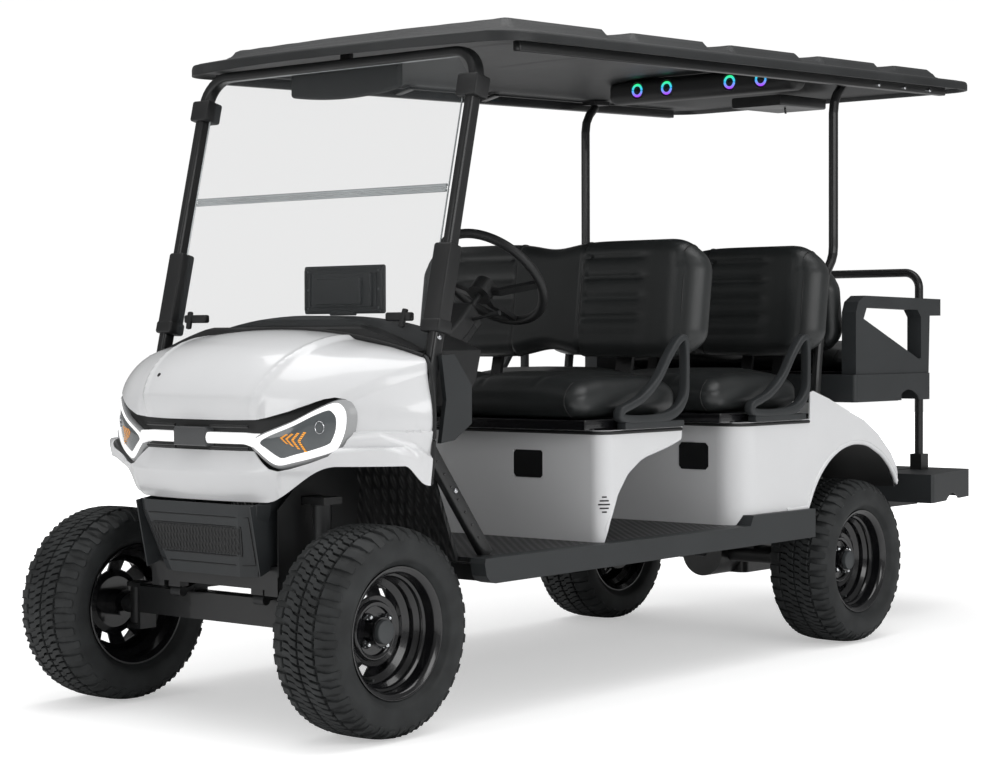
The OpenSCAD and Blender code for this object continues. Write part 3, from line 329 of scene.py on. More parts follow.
rim_black = painted("rim_black", (0.006, 0.006, 0.007), 0.22, coat=0.6, drift=0.05)
nut_chrome = painted("nut_chrome", (0.72, 0.74, 0.76), 0.16, metal=1.0, drift=0.04)
cap_grey = painted("cap_grey", (0.055, 0.06, 0.063), 0.45)
nut_section = [(0.011, 0.0098), (0.023, 0.0098), (0.0245, 0.0088), (0.0285, 0.0082), (0.0325, 0.0060),
               (0.0345, 0.0025), (0.035, 0.0002)]
cap_section = [(0.0422, 0.0325), (0.0500, 0.0322), (0.0535, 0.0305), (0.0550, 0.0270), (0.0555, 0.0002)]
boss_section = [(0.0095, 0.0790), (0.0140, 0.0785), (0.0168, 0.0755), (0.0168, 0.0700), (0.0145, 0.0655),
                (0.0100, 0.0635)]
step_section = [(0.0350, 0.1535), (0.0390, 0.1470), (0.0445, 0.1452), (0.0500, 0.1480), (0.0530, 0.1545)]
lip_section = [(0.0800, 0.1555), (0.0860, 0.1572), (0.0905, 0.1622), (0.0935, 0.1686), (0.0955, 0.1716),
               (0.0955, 0.1744), (0.0925, 0.1752), (0.0890, 0.1748)]
stem_section = [(0.060, 0.0055), (0.064, 0.0062), (0.080, 0.0045), (0.093, 0.0040), (0.0935, 0.0002)]
nut_circle_r = 0.0508
verts, faces = [], []
for k in range(4):
    a = math.radians(90 * k + 38)
    more, round_faces = turned(nut_section, 24)
    for i, (x, y, z) in enumerate(more):
        if i % len(nut_section) < 2:
            spin = math.atan2(x, z)
            hexed = math.cos(math.pi / 6) / math.cos((spin % (math.pi / 3)) - math.pi / 6) * 1.13
            x, z = x * hexed, z * hexed
        more[i] = (x + nut_circle_r * math.sin(a), y, z + nut_circle_r * math.cos(a))
    faces += [tuple(i + len(verts) for i in f) for f in round_faces]
    verts += more
nuts = (verts, faces)
for corner in corners:
    wear("rim_" + corner, rim_black)
    for kind, shape, finish, slot, shift in (
            ("grease_cap", turned(cap_section, 72), cap_grey, "rim_paint", (0, 0)),
            ("disc_boss", turned(boss_section, 72), rim_black, "rim_paint", (0, 0)),
            ("barrel_step", turned(step_section, 72), rim_black, "rim_paint", (0, 0)),
            ("rim_lip", turned(lip_section, 72), rim_black, "rim_paint", (0, 0)),
            ("lug_nuts", nuts, nut_chrome, "bare_steel", (0, 0)),
            ("valve_stem", turned(stem_section, 16), tyre_rubber, "tyre", (0.092, -0.112))):
        placed = on_wheel("rim_" + corner, *shape, *shift)
        piece(kind + "_" + corner, *placed, finish, "wheel_" + corner, slot)

# ---- seats ----
# Moulded foam benches in black vinyl: two forward benches and one that faces
# the rear. Each back rest has two pleated inserts and a plain middle, with
# welts round its end panels; each cushion has a welt along its bolsters.


def smooth(t):
    """0 to 1 with a soft start and end."""
    t = max(0.0, min(1.0, t))
    return t * t * (3 - 2 * t)


def vinyl(name, colour):
    """Grained vinyl: pebbled leather print, slow creasing whose colour follows its height (painted shade in
    the hollows, painted light on the crests), and a soft sheen.
    """
    made, tree, shader = new_material(name, {"Roughness": 0.42, "Specular IOR Level": 0.5,
                                             "Coat Weight": 0.22, "Coat Roughness": 0.3})
    place = add_node(tree, "TexCoord")
    pebble = add_node(tree, "TexVoronoi", {"Scale": 420})
    # One slow noise both bumps the creases and colours them: painted shade in the hollows and painted light
    # on the crests.
    folds_and_shade = add_node(tree, "TexNoise", {"Scale": 9, "Detail": 5})
    shade = add_node(tree, "ValToRGB")
    low, high = shade.color_ramp.elements
    low.color = (*[c * 0.8 for c in colour], 1)
    high.color = (*[c * 1.5 + 0.002 for c in colour], 1)
    fine = add_node(tree, "Bump", {"Strength": 0.35, "Distance": 0.0005})
    slow = add_node(tree, "Bump", {"Strength": 0.4, "Distance": 0.004})
    wire(tree, (place, "Object", pebble, "Vector"), (place, "Object", folds_and_shade, "Vector"),
         (folds_and_shade, "Fac", shade, "Fac"), (shade, "Color", shader, "Base Color"),
         (folds_and_shade, "Fac", slow, "Height"), (pebble, "Distance", fine, "Height"),
         (slow, "Normal", fine, "Normal"), (fine, "Normal", shader, "Normal"))
    return made


def round_box(half, r, gap):
    """Points and outward directions of a rounded box, with its quads, about gap apart."""
    def stops(h):
        inner = h - r
        edge = [inner + r * math.tan(math.radians(a)) for a in (0, 11, 22, 33, 45)]
        flat = max(2, round(2 * inner / gap))
        return ([-e for e in reversed(edge)] + [-inner + 2 * inner * k / flat for k in range(1, flat)] + edge)
    along = [stops(h) for h in half]
    keys, verts, outs, faces = {}, [], [], []

    def corner(q):
        key = tuple(round(c, 6) for c in q)
        if key not in keys:
            keys[key] = len(verts)
            core = Vector([max(-(h - r), min(h - r, c)) for c, h in zip(q, half)])
            out = (Vector(q) - core).normalized()
            verts.append(core + out * r)
            outs.append(out)
        return keys[key]
    for axis in range(3):
        b, c = (axis + 1) % 3, (axis + 2) % 3
        for way in (-1, 1):
            for b0, b1 in zip(along[b], along[b][1:]):
                for c0, c1 in zip(along[c], along[c][1:]):
                    quad = []
                    for vb, vc in ((b0, c0), (b1, c0), (b1, c1), (b0, c1)):
                        q = [0, 0, 0]
                        q[axis], q[b], q[c] = way * half[axis], vb, vc
                        quad.append(corner(q))
                    faces.append(tuple(quad if way > 0 else reversed(quad)))
    return verts, outs, faces


def block_at(place, half, r, gap):
    """Points and quads of a rounded box about a place."""
    verts, _, faces = round_box(Vector(half), r, gap)
    return [p + place for p in verts], faces


def welt(path, r, sides=8):
    """Verts and faces of a closed cord of radius r along the path's points."""
    verts, n = [], len(path)
    for i, spot in enumerate(path):
        ahead = (path[(i + 1) % n] - path[i - 1]).normalized()
        across = ahead.cross(Vector((0, 1, 0.02))).normalized()
        other = ahead.cross(across)
        for k in range(sides):
            a = 2 * math.pi * k / sides
            verts.append(spot + (across * math.cos(a) + other * math.sin(a)) * r)
    return verts, [(a, d, c, b) for a, b, c, d in ring_faces(n, sides, True)]


def join(shapes):
    """One set of verts and faces out of several."""
    verts, faces = [], []
    for more, quads in shapes:
        faces += [tuple(i + len(verts) for i in f) for f in quads]
        verts += list(more)
    return verts, faces


seat_vinyl = vinyl("seat_vinyl", (0.0150, 0.0170, 0.0172))
welt_vinyl = vinyl("welt_vinyl", (0.004, 0.004, 0.0042))
# where the pleated inserts start and end, from the middle of the bench
insert_in, insert_out = 0.138, 0.425


def back_shape(half, scale=1.0):
    """Where a point of the plain back rest goes: dips, pleats, bolsters and seams."""
    wide, tall = half[1], half[2]
    first, last = insert_in * scale, insert_out * scale
    edge_r = 0.047

    def move(p, out):
        x, y, z = p
        reach = abs(y)
        turn = 0.100 if z > 0 else 0.075
        past_y, past_z = abs(y) - wide + turn, abs(z) - tall + turn
        if past_y > 0 and past_z > 0:
            inner, size = turn - edge_r, past_y ** 2 + past_z ** 2
            dot = inner * (past_y + past_z)
            q = (dot + math.sqrt(max(0.0, dot * dot - size * (2 * inner * inner - edge_r ** 2)))) / size
            if min(past_y, past_z) * q < inner:
                q = turn / max(past_y, past_z)
            k = turn / (q * math.sqrt(size))
            y = math.copysign(wide - turn + past_y * k, y)
            z = math.copysign(tall - turn + past_z * k, z)
        end = smooth((reach - (wide - 0.13)) / 0.13)
        dip = 0.020 * math.exp(-(y / 0.10) ** 2) + 0.016 * end
        z -= dip * smooth(z / tall) if z > 0 else -1.25 * dip * smooth(-z / tall)
        front = smooth((out.x - 0.35) / 0.4)
        x -= 0.020 * end * end
        if front > 0:
            inside = smooth((reach - first) / 0.014) * smooth((last - reach) / 0.075)
            band = smooth((z + tall - 0.055) / 0.016) * smooth((tall - 0.040 - z) / 0.016)
            pleat = abs(math.sin(math.pi * (z + tall - 0.055) / 0.0655))
            x -= front * inside * band * 0.0135 * (1 - pleat ** 0.5)
            x -= front * 0.007 * math.exp(-((reach - first) / 0.0045) ** 2)
            x -= front * inside * 0.006
            x += front * 0.006 * math.exp(-((reach - wide + 0.10) / 0.05) ** 2)
            x -= front * 0.012 * smooth((tall * 0.2 - abs(z + 0.02)) / (tall * 0.8)) * inside
        x -= 0.004 * math.exp(-((reach - wide + 0.052) / 0.0045) ** 2) * (1 if out.x >= 0 else -1)
        return Vector((x, y, z))
    return move


def cushion_shape(half, scale=1.0):
    """Where a point of the plain cushion goes: crown, middle dip, bolsters and seams."""
    deep, wide, tall = half
    seam = 0.150 * scale

    def move(p, out):
        x, y, z = p
        reach = abs(y)
        top = smooth((out.z - 0.2) / 0.5)
        rise = smooth((z + tall) / (2 * tall))
        edge = smooth((reach - wide + 0.16) / 0.16)
        z -= rise * (0.026 * math.exp(-(y / 0.115) ** 2) + 0.020 * edge)
        z -= rise * 0.016 * smooth((abs(x) - deep + 0.16) / 0.16)
        x += 0.008 * smooth(x / deep) * math.sin(math.pi * rise)
        z -= top * 0.005 * math.exp(-((reach - wide + 0.125 + 0.05 * (x / deep) ** 2) / 0.006) ** 2)
        z -= top * 0.005 * math.exp(-((reach - seam - 0.03 * (x / deep) ** 2) / 0.006) ** 2)
        return Vector((x, y, z))
    return move


def upholster(name, half, r, gap, shape, place, body, welts):
    """One padded piece on its place matrix, with welts along rows of constant y."""
    verts, outs, faces = round_box(half, r, gap)
    moved = [place @ shape(p, out) for p, out in zip(verts, outs)]
    pad = piece(name, moved, faces, seat_vinyl, body, "seat_vinyl", 80)
    cords = []
    for y in welts:
        loop = []
        for k in range(96):
            a = 2 * math.pi * k / 96
            q = Vector((math.cos(a), 0, math.sin(a)))
            core = Vector((math.copysign(half[0] - r, q.x) * min(1, abs(q.x) * 2.5),
                           0, math.copysign(half[2] - r, q.z) * min(1, abs(q.z) * 2.5)))
            spot = core + q.normalized() * r
            spot.y = y
            loop.append(place @ (shape(spot, q) + q * 0.0008))
        cords.append(welt(loop, 0.0020))
    piece(name + "_welts", *join(cords), welt_vinyl, body, "seat_vinyl", 80)
    return pad


def lean_place(spot, lean, turn=0.0):
    """A place for a back rest that leans back by a slope, turned about the vertical."""
    return (Matrix.Translation(spot) @ Matrix.Rotation(turn, 4, "Z")
            @ Matrix.Rotation(-math.atan(lean), 4, "Y"))


bench_lean, rear_lean = 0.135, 0.12
for bench, body in (("front", "front_seat_lid"), ("middle", "middle_seat_lid")):
    low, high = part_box(bench + "_seat_bottom")
    half = Vector((0.253, 0.556, 0.069))
    middle = Vector((high.x - 0.002 - half.x, 0, high.z - half.z - 0.001))
    bench_pad = upholster(bench + "_cushion", half, 0.052, 0.011, cushion_shape(half),
                          Matrix.Translation(middle), body, (-0.505, 0.505))
    # the black moulded pan the foam sits in
    pan_middle = Vector(((low.x + high.x) / 2 + 0.026, 0, low.z + 0.0158))
    piece(bench + "_seat_pan", *block_at(pan_middle, (0.2120, 0.566, 0.0155), 0.006, 0.05), rim_black, body,
          "moulded_grey")
    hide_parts(bench + "_seat_bottom")
    back_half = Vector((0.0515, 0.583, 0.187))
    spot = Vector((high.x - 0.574 - bench_lean * back_half.z, 0, 0.9833 + back_half.z))
    back_pad = upholster(bench + "_back_rest", back_half, 0.048, 0.0075, back_shape(back_half),
                         lean_place(spot, bench_lean), "body", (-0.531, 0.531, -insert_in, insert_in))
    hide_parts("seat_backs")

low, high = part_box("rear_seat_bottom")
half = Vector((0.195, 0.476, 0.052))
middle = Vector(((low.x + high.x) / 2, 0, high.z - half.z - 0.001))
rear_pad = upholster("rear_cushion", half, 0.045, 0.011, cushion_shape(half, 0.85),
                     Matrix.Translation(middle), "rear_seat_lid", (-0.43, 0.43))
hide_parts("rear_seat_bottom")
pan_middle = Vector(((low.x + high.x) / 2 - 0.004, 0, low.z + 0.0058))
piece("rear_seat_pan", *block_at(pan_middle, (0.188, 0.464, 0.0056), 0.003, 0.05), rim_black, "rear_seat_lid",
      "moulded_grey")
back_half = Vector((0.0465, 0.502, 0.1575))
spot = Vector((high.x + 0.048 + rear_lean * back_half.z, 0, 0.991 + back_half.z))
rear_back = upholster("rear_back_rest", back_half, 0.043, 0.0075, back_shape(back_half, 0.86),
                      lean_place(spot, rear_lean, math.pi), "body", (-0.452, 0.452, -0.119, 0.119))
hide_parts("seat_backs")

# ---- front cowl ----
# One glossy white moulding from the windshield's foot to the wheel arches: a
# raised hood panel with two beads, a flatter band over the lamps, a faceted lip.
nose_reach = 0.178
axle_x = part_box("front_cowl")[1].x - nose_reach
belt_z = 0.83
shell_white = painted("shell_white", (0.74, 0.745, 0.755), 0.24, coat=0.7, drift=0.012)
gasket_black = painted("gasket_black", (0.012, 0.0125, 0.013), 0.5, grain=700, depth=0.0004)


def bent(t):
    """Sine with its ends spread, which squares up the nose's plan."""
    return math.copysign(abs(math.sin(t)) ** 0.8, math.sin(t))


def between(table, u):
    """Value of a table of (u, value) pairs at u."""
    for (u0, v0), (u1, v1) in zip(table, table[1:]):
        if u <= u1:
            return v0 + (v1 - v0) * max(0.0, (u - u0) / (u1 - u0))
    return table[-1][1]


def cowl_skin(t, row):
    """Point and outward direction of the plain cowl: row 0-1 below the belt line, 1-2 above it."""
    across = bent(t)
    m = Vector((0.150 - 0.328 * max(0.0, math.cos(t)) ** 1.54, 0.6 * across))
    n = Vector((-max(0.0001, math.cos(t)) ** 0.8, 1.1 * math.sin(t))).normalized()
    if row <= 1:
        g = 1 - row
        lip = (belt_z - 0.220 + 0.100 * smooth((abs(m.y) - 0.250) / 0.190)
               - 0.055 * smooth((abs(m.y) - 0.56) / 0.04))
        base, z, tuck, up = m, belt_z + (lip - belt_z) * g, 0.014 * g * g, 0.0
    else:
        f = math.radians(90 * (row - 1))
        e = Vector((nose_reach, 0.537 * across))
        top = 1.0 + 0.075 * (1 - across * across)
        base, tuck, up = e + (m - e) * math.cos(f), 0.0, math.sin(f)
        z = belt_z + (top - belt_z) * up
    flat = math.sqrt(max(0.0, 1 - up * up))
    return (Vector((axle_x - (base.x - n.x * tuck), base.y - n.y * tuck, z)),
            Vector((-n.x * flat, n.y * flat, up)))


# (height, half width) of the raised hood panel, and (side, height) of the fender's crease
hood_half = [(0.86, 0.222), (0.896, 0.228), (0.946, 0.245), (0.996, 0.262), (1.04, 0.275), (1.08, 0.28)]
flare_line = [(0.40, 0.768), (0.458, 0.776), (0.521, 0.785), (0.58, 0.752), (0.61, 0.70)]


def cowl_detail(y, z):
    """How far the surface lies inside the plain cowl at a place."""
    y = abs(y)
    deep = 0.0
    if z > 0.80:
        w = between(hood_half, z)
        s = y - w
        deep += 0.007 * smooth(s / 0.022 + 0.35) * (1 - 0.6 * smooth((s - 0.05) / 0.12))
        deep += 0.0034 * (1 - math.exp(-((s + 0.012) / 0.008) ** 2))
        deep += 0.024 * max(0.0, min(1.0, (0.894 - z) / 0.062)) * (1 - smooth((s + 0.012) / 0.05))
    q = ((y - 0.44) * 0.082 - (z - 0.902) * 0.113) / 0.1396
    if y > 0.38 and q > 0:
        deep += 0.010 * min(1.0, q / 0.03) * (1 - smooth((q - 0.05) / 0.09)) * smooth((y - 0.38) / 0.05)
    if y > 0.42:
        q = z - between(flare_line, y)
        if q > 0:
            deep += 0.011 * smooth(q / 0.016) * (1 - smooth((q - 0.02) / 0.09)) * smooth((y - 0.42) / 0.05)
    if z < 0.76:
        deep += (0.030 * max(0.0, min(1.0, (z - 0.689) / 0.058))
                 * (1 - max(0.0, min(1.0, (y - 0.20) / 0.09))))
        deep += (0.012 * smooth((y - 0.285) / 0.012) * smooth((0.70 - z) / 0.02)
                 * (1 - smooth((y - 0.33) / 0.08)))
        deep += 0.018 * max(0.0, min(1.0, (0.689 - z) / 0.07)) * (1 - smooth((y - 0.28) / 0.02))
        deep -= (0.026 * smooth((y - 0.36) / 0.08) * (1 - smooth((y - 0.54) / 0.05))
                 * smooth((between(flare_line, y) - z) / 0.03))
    return deep


def grid_faces(rows, columns):
    """Quads of an open grid of points."""
    return [(j * columns + k, j * columns + k + 1, (j + 1) * columns + k + 1, (j + 1) * columns + k)
            for j in range(rows - 1) for k in range(columns - 1)]


def skin_grid(columns, low_rows, high_rows, depth, detail=True, pick=None):
    """Verts and faces of a sheet of the cowl, a depth inside it."""
    verts = []
    rows = [k / low_rows for k in range(low_rows)] + [1 + k / high_rows for k in range(high_rows + 1)]
    for row in rows:
        for i in range(columns + 1):
            p, n = cowl_skin(math.radians(-90 + 180 * i / columns), row)
            verts.append(p - n * (depth + (cowl_detail(p.y, p.z) if detail else 0)))
    return verts, [quad for quad in grid_faces(len(rows), columns + 1)
                   if pick is None or all(pick(verts[c]) for c in quad)]


def thick_sheet(outer, inner, faces):
    """Closes two matching sheets into one shell."""
    n = len(outer)
    edges = {}
    for face in faces:
        for k in range(4):
            edges[face[k], face[(k + 1) % 4]] = True
    closed = [list(f) for f in faces] + [[v + n for v in reversed(f)] for f in faces]
    closed += [[b, a, a + n, b + n] for a, b in edges if (b, a) not in edges]
    return outer + inner, closed


def prism(outline, x0, x1):
    """A closed prism of (y, z) points between two places along the cart."""
    n = len(outline)
    cutter = bmesh.new()
    rings = [[cutter.verts.new((x, y, z)) for y, z in outline] for x in (x0, x1)]
    cutter.faces.new(rings[0])
    cutter.faces.new(list(reversed(rings[1])))
    for k in range(n):
        cutter.faces.new([rings[0][k], rings[1][k], rings[1][(k + 1) % n], rings[0][(k + 1) % n]])
    bmesh.ops.recalc_face_normals(cutter, faces=cutter.faces)
    mesh = bpy.data.meshes.new("cutter")
    cutter.to_mesh(mesh)
    cutter.free()
    made = bpy.data.objects.new("cutter", mesh)
    bpy.context.collection.objects.link(made)
    return made


def carve(part, cutter):
    """Cuts one closed mesh out of another and applies the cut."""
    cut = part.modifiers.new("cut", "BOOLEAN")
    cut.operation = "DIFFERENCE"
    cut.solver = "EXACT"
    cut.object = cutter
    settled = bpy.data.meshes.new_from_object(part.evaluated_get(bpy.context.evaluated_depsgraph_get()))
    part.modifiers.clear()
    part.data = settled
    bpy.data.objects.remove(cutter)


outer_verts, outer_faces = skin_grid(240, 38, 76, 0.0)
inner_verts, _ = skin_grid(240, 38, 76, 0.0042)
cowl = piece("cowl_shell", *thick_sheet(outer_verts, inner_verts, outer_faces), shell_white, "body",
             "shell_white", 28)
# the (side, height) outline of the opening for the lamps
half_opening = [(0.0, 0.828), (0.131, 0.828), (0.215, 0.830), (0.256, 0.836), (0.316, 0.853),
                (0.365, 0.872), (0.398, 0.886), (0.424, 0.891), (0.444, 0.886), (0.457, 0.872),
                (0.464, 0.850), (0.463, 0.802), (0.454, 0.772), (0.441, 0.750), (0.428, 0.737),
                (0.383, 0.721), (0.326, 0.702), (0.292, 0.695), (0.266, 0.701), (0.245, 0.716),
                (0.210, 0.746), (0.0, 0.746)]
opening = half_opening + [(-y, z) for y, z in reversed(half_opening) if y > 0]
carve(cowl, prism(opening, axle_x - 0.012, axle_x + 0.3))
cowl.data.set_sharp_from_angle(angle=math.radians(30))
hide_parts("front_cowl")
liner = skin_grid(90, 14, 28, 0.034, False, lambda p: abs(p.y) < 0.49 and 0.66 < p.z < 0.92)
piece("lamp_liner", *liner, gasket_black, "body", "trim_black")


def rope(name, points, radius, finish, slot="trim_black", sides=10, closed=False):
    """A round bead or tube along a run of points."""
    verts, n = [], len(points)
    for i, p in enumerate(points):
        ahead = points[(i + 1) % n] if closed or i < n - 1 else p
        behind = points[i - 1] if closed or i > 0 else p
        along = (ahead - behind).normalized()
        side = along.cross(Vector((0, 0, 1)))
        side = side.normalized() if side.length > 0.05 else along.cross(Vector((0, 1, 0))).normalized()
        lift = side.cross(along)
        for k in range(sides):
            turn = 2 * math.pi * k / sides
            verts.append(p + side * (radius * math.cos(turn)) + lift * (radius * math.sin(turn)))
    faces = ring_faces(n, sides, closed)
    if not closed:
        faces += [list(reversed(range(sides))), list(range((n - 1) * sides, n * sides))]
    return piece(name, verts, faces, finish, "body", slot, 60)


for side, turn in (("left", 90), ("right", -90)):
    run = []
    for k in range(40):
        p, n = cowl_skin(math.radians(turn), 0.02 + 1.96 * k / 39)
        run.append(p - n * 0.003 + Vector((-0.004, 0, 0)))
    rope("cowl_gasket_" + side, run, 0.0055, gasket_black)
run = [cowl_skin(math.radians(-88 + 176 * k / 60), 2)[0] + Vector((-0.001, 0, -0.001)) for k in range(61)]
rope("cowl_gasket_top", run, 0.005, gasket_black)
plug, n = cowl_skin(math.radians(-13.5), 1.33)
rope("hood_plug", [plug - n * 0.006, plug - n * 0.0035, plug - n * 0.0015], 0.006, gasket_black)

# ---- lamps ----
# Each lamp is a dark glass under a white light band; the bands run on across the
# nose as one bar that a plain dark block interrupts. Amber cells show behind the glass.
plain_verts, plain_faces = skin_grid(160, 24, 48, 0.0, False)
plain_cowl = BVHTree.FromPolygons(plain_verts, plain_faces)


def nose_at(y, z, depth):
    """The point a depth behind the plain cowl's nose, seen from ahead."""
    hit = plain_cowl.ray_cast(Vector((axle_x + 1, y, z)), Vector((-1, 0, 0)))[0]
    return Vector((hit.x - depth, y, z))


def closed_run(points, count):
    """A smooth closed run of (y, z) points, evenly resampled."""
    fine = []
    n = len(points)
    for i in range(n):
        p0, p1, p2, p3 = (Vector(points[(i + k) % n]) for k in (-1, 0, 1, 2))
        for k in range(12):
            u = k / 12
            fine.append(0.5 * (2 * p1 + (p2 - p0) * u + (2 * p0 - 5 * p1 + 4 * p2 - p3) * u * u
                               + (3 * p1 - p0 - 3 * p2 + p3) * u ** 3))
    step = len(fine) / count
    return [fine[int(k * step)] for k in range(count)]


def band(name, rings, finish, slot, cap=False, crease=40):
    """A strip through matching closed rings of points."""
    n = len(rings[0])
    verts = [p for ring in rings for p in ring]
    faces = ring_faces(len(rings), n)
    if cap:
        faces.append([(len(rings) - 1) * n + k for k in range(n)])
    return piece(name, verts, faces, finish, "body", slot, crease)


def glow(name, colour, strength, rim=0.25):
    """A lit plastic light pipe: brightest where it faces the eye."""
    made, tree, shader = new_material(name, {"Base Color": (*[0.55 * c for c in colour], 1), "Roughness": 0.3,
                                             "Emission Color": (*colour, 1)})
    facing = add_node(tree, "LayerWeight", {"Blend": rim})
    span = add_node(tree, "MapRange", {"To Min": strength, "To Max": strength * 0.35})
    wire(tree, (facing, "Facing", span, "Value"), (span, "Result", shader, "Emission Strength"))
    return made


light_white = glow("light_white", (1.0, 1.0, 1.0), 0.95)
light_amber = glow("light_amber", (1.0, 0.40, 0.04), 0.75)
bezel_grey = painted("bezel_grey", (0.36, 0.365, 0.37), 0.35, coat=0.3, depth=0.0002)
block_grey = painted("block_grey", (0.07, 0.072, 0.075), 0.35, coat=0.3, depth=0.0002)
lens_glass = painted("lens_glass", (0.085, 0.095, 0.10), 0.12, coat=1.0, depth=0.0)
chrome = painted("chrome", (0.62, 0.63, 0.65), 0.16, metal=1.0, depth=0.0)
# the outer and inner (side, height) outline of the lit band
pipe_outer = [(0.212, 0.767), (0.238, 0.789), (0.327, 0.826), (0.390, 0.862), (0.426, 0.879), (0.445, 0.872),
              (0.456, 0.848), (0.455, 0.811), (0.444, 0.774), (0.427, 0.748), (0.381, 0.730), (0.326, 0.715),
              (0.292, 0.708), (0.268, 0.716), (0.238, 0.740)]
pipe_inner = [(0.244, 0.770), (0.264, 0.785), (0.330, 0.813), (0.380, 0.840), (0.408, 0.852), (0.419, 0.846),
              (0.426, 0.832), (0.425, 0.806), (0.417, 0.783), (0.408, 0.772), (0.372, 0.757), (0.330, 0.744),
              (0.302, 0.735), (0.286, 0.741), (0.262, 0.757)]
for side, way in both_sides:
    outside = closed_run(pipe_outer, 120)
    inside = closed_run(pipe_inner, 120)
    centre = Vector((0.345, 0.795))

    def ring(u, depth):
        """u 0 is the band's outer edge and 1 its inner edge; below 0 is outside it."""
        made = []
        for o, i in zip(outside, inside):
            p = o + (i - o) * u if u <= 1 else i + (centre - i) * (u - 1)
            made.append(nose_at(way * p.x, p.y, depth))
        return made

    band("lamp_band_" + side, [ring(0.10, 0.018), ring(0.12, 0.009), ring(0.25, 0.006), ring(0.45, 0.0045),
                               ring(0.62, 0.006), ring(0.80, 0.010), ring(0.83, 0.016)], light_white,
         "lamp_lens")
    band("lamp_bezel_" + side, [ring(-0.34, 0.026), ring(-0.24, 0.016), ring(-0.06, 0.012), ring(0.10, 0.010),
                                ring(0.14, 0.022)], bezel_grey, "trim_black")
    band("lamp_glass_" + side, [ring(0.79, 0.0145), ring(0.86, 0.0115), ring(1.25, 0.0105), ring(1.5, 0.0095),
                                ring(1.75, 0.009), ring(1.95, 0.009)], lens_glass, "lamp_lens", cap=True)
    cells, cell_faces = [], []
    for k, (tip, tall) in enumerate(((0.298, 0.013), (0.312, 0.017), (0.327, 0.022), (0.343, 0.027))):
        for up in (1, -1):
            for j in range(5):
                u0, u1 = j / 5 + 0.03, (j + 1) / 5 - 0.03
                for u, v, w in ((u0, 0, 0), (u1, 0, 0), (u1, 1, 0), (u0, 1, 0)):
                    y = tip + 0.016 * u + 0.0065 * v
                    z = 0.784 + up * tall * u - 0.010 * (y - 0.298) / 0.06
                    cells.append(nose_at(way * y, z, 0.0082))
                b = len(cells) - 4
                middle = sum((cells[b + m] for m in range(4)), Vector()) / 4 + Vector((0.0012, 0, 0))
                cells.append(middle)
                cell_faces += [[b + m, b + (m + 1) % 4, b + 4] for m in range(4)]
    piece("lamp_amber_" + side, cells, cell_faces, light_amber, "body", "lamp_lens", 10)
    spot = [nose_at(way * (0.396 + 0.010 * math.cos(2 * math.pi * k / 20)),
                    0.812 + 0.016 * math.sin(2 * math.pi * k / 20), 0.0086) for k in range(20)]
    rope("lamp_eye_" + side, spot, 0.0016, chrome, "lamp_lens", 6, True)
    bar_rings = []
    for k in range(25):
        y = way * (0.060 + 0.166 * k / 24)
        wide = 0.0150 + 0.004 * smooth((abs(y) - 0.19) / 0.04)
        bar_rings.append([nose_at(y, 0.7805 + wide * u - 0.006 * smooth((abs(y) - 0.18) / 0.05), d)
                          for u, d in ((-1, 0.030), (-1, 0.012), (-0.85, 0.008), (-0.4, 0.0055), (0, 0.005),
                                       (0.4, 0.0055), (0.85, 0.008), (1, 0.012), (1, 0.030))])
    verts = [p for r in bar_rings for p in r]
    faces = grid_faces(25, 9)
    faces += [list(range(9)), [24 * 9 + k for k in reversed(range(9))]]
    bar = piece("light_bar_" + side, verts, faces, light_white, "body", "lamp_lens", 40)
    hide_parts("lamps")
block_rings = []
for grow, depth in ((0.0, 0.034), (0.0, 0.006), (-0.003, 0.0025), (-0.010, 0.002)):
    block_rings.append([nose_at(y, z, depth) for y, z in (
        (0.064 + grow, 0.757 - grow), (0.064 + grow, 0.802 + grow), (0.058 + grow, 0.809 + grow),
        (-0.058 - grow, 0.809 + grow), (-0.064 - grow, 0.802 + grow), (-0.064 - grow, 0.757 - grow))])
band("nose_block", block_rings, block_grey, "trim_black", cap=True, crease=30)
for side, way in both_sides:
    for level, z in (("upper", 0.812), ("lower", 0.753)):
        run = [nose_at(way * (0.07 + 0.13 * k / 12), z, 0.016) for k in range(13)]
        rope("slot_rib_%s_%s" % (level, side), run, 0.004, gasket_black, "trim_black", 8)

# ---- roof ----
# A moulded canopy in grained charcoal: a thick rounded rim, a shallow gutter and
# five raised panels with dished ends, over a pair of black side rails.
roof_low, roof_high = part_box("roof")
roof_front, roof_long, roof_wide = axle_x - roof_high.x, roof_high.x - roof_low.x, roof_high.y
roof_grain = painted("roof_grain", (0.021, 0.0225, 0.0235), 0.5, grain=420, depth=0.0012, drift=0.2)
moulded_grey = painted("moulded_grey", (0.026, 0.029, 0.031), 0.5, grain=650, depth=0.0007)
trim_black = painted("trim_black", (0.012, 0.0125, 0.013), 0.45, grain=650, depth=0.0006)
steel_grey = painted("steel_grey", (0.16, 0.165, 0.17), 0.35, metal=0.9)
frame_black = painted("frame_black", (0.011, 0.0115, 0.012), 0.38, coat=0.25, depth=0.0003)
# the front and rear edge of each raised panel
panel_ends = ((0.50, 0.985), (1.095, 1.51), (1.62, 2.05), (2.16, 2.565), (2.665, 3.02))


def roof_edge(a):
    """Height of the canopy's lower edge, which slopes up to the rear."""
    return 1.842 + 0.0325 * a


def roof_half(a):
    """Half width of the canopy, with its corners rounded in plan."""
    corner_r = 0.13
    k = max(0.0, corner_r - min(a - roof_front, roof_front + roof_long - a))
    return roof_wide - corner_r + math.sqrt(max(0.0, corner_r ** 2 - k * k))


def roof_plan(u, v):
    """Distance behind the front axle and side of a place on the canopy, its front edge bowed."""
    a = roof_front + roof_long * u
    return a + 0.070 * v * v * (1 - smooth(u / 0.35)), v * roof_half(a)


def roof_inside(u, v):
    """How far a place lies in from the canopy's nearest edge."""
    return min(roof_half(roof_front + roof_long * u) * (1 - abs(v)), (roof_long * u) * 0.8,
               roof_long * (1 - u) * 0.8)


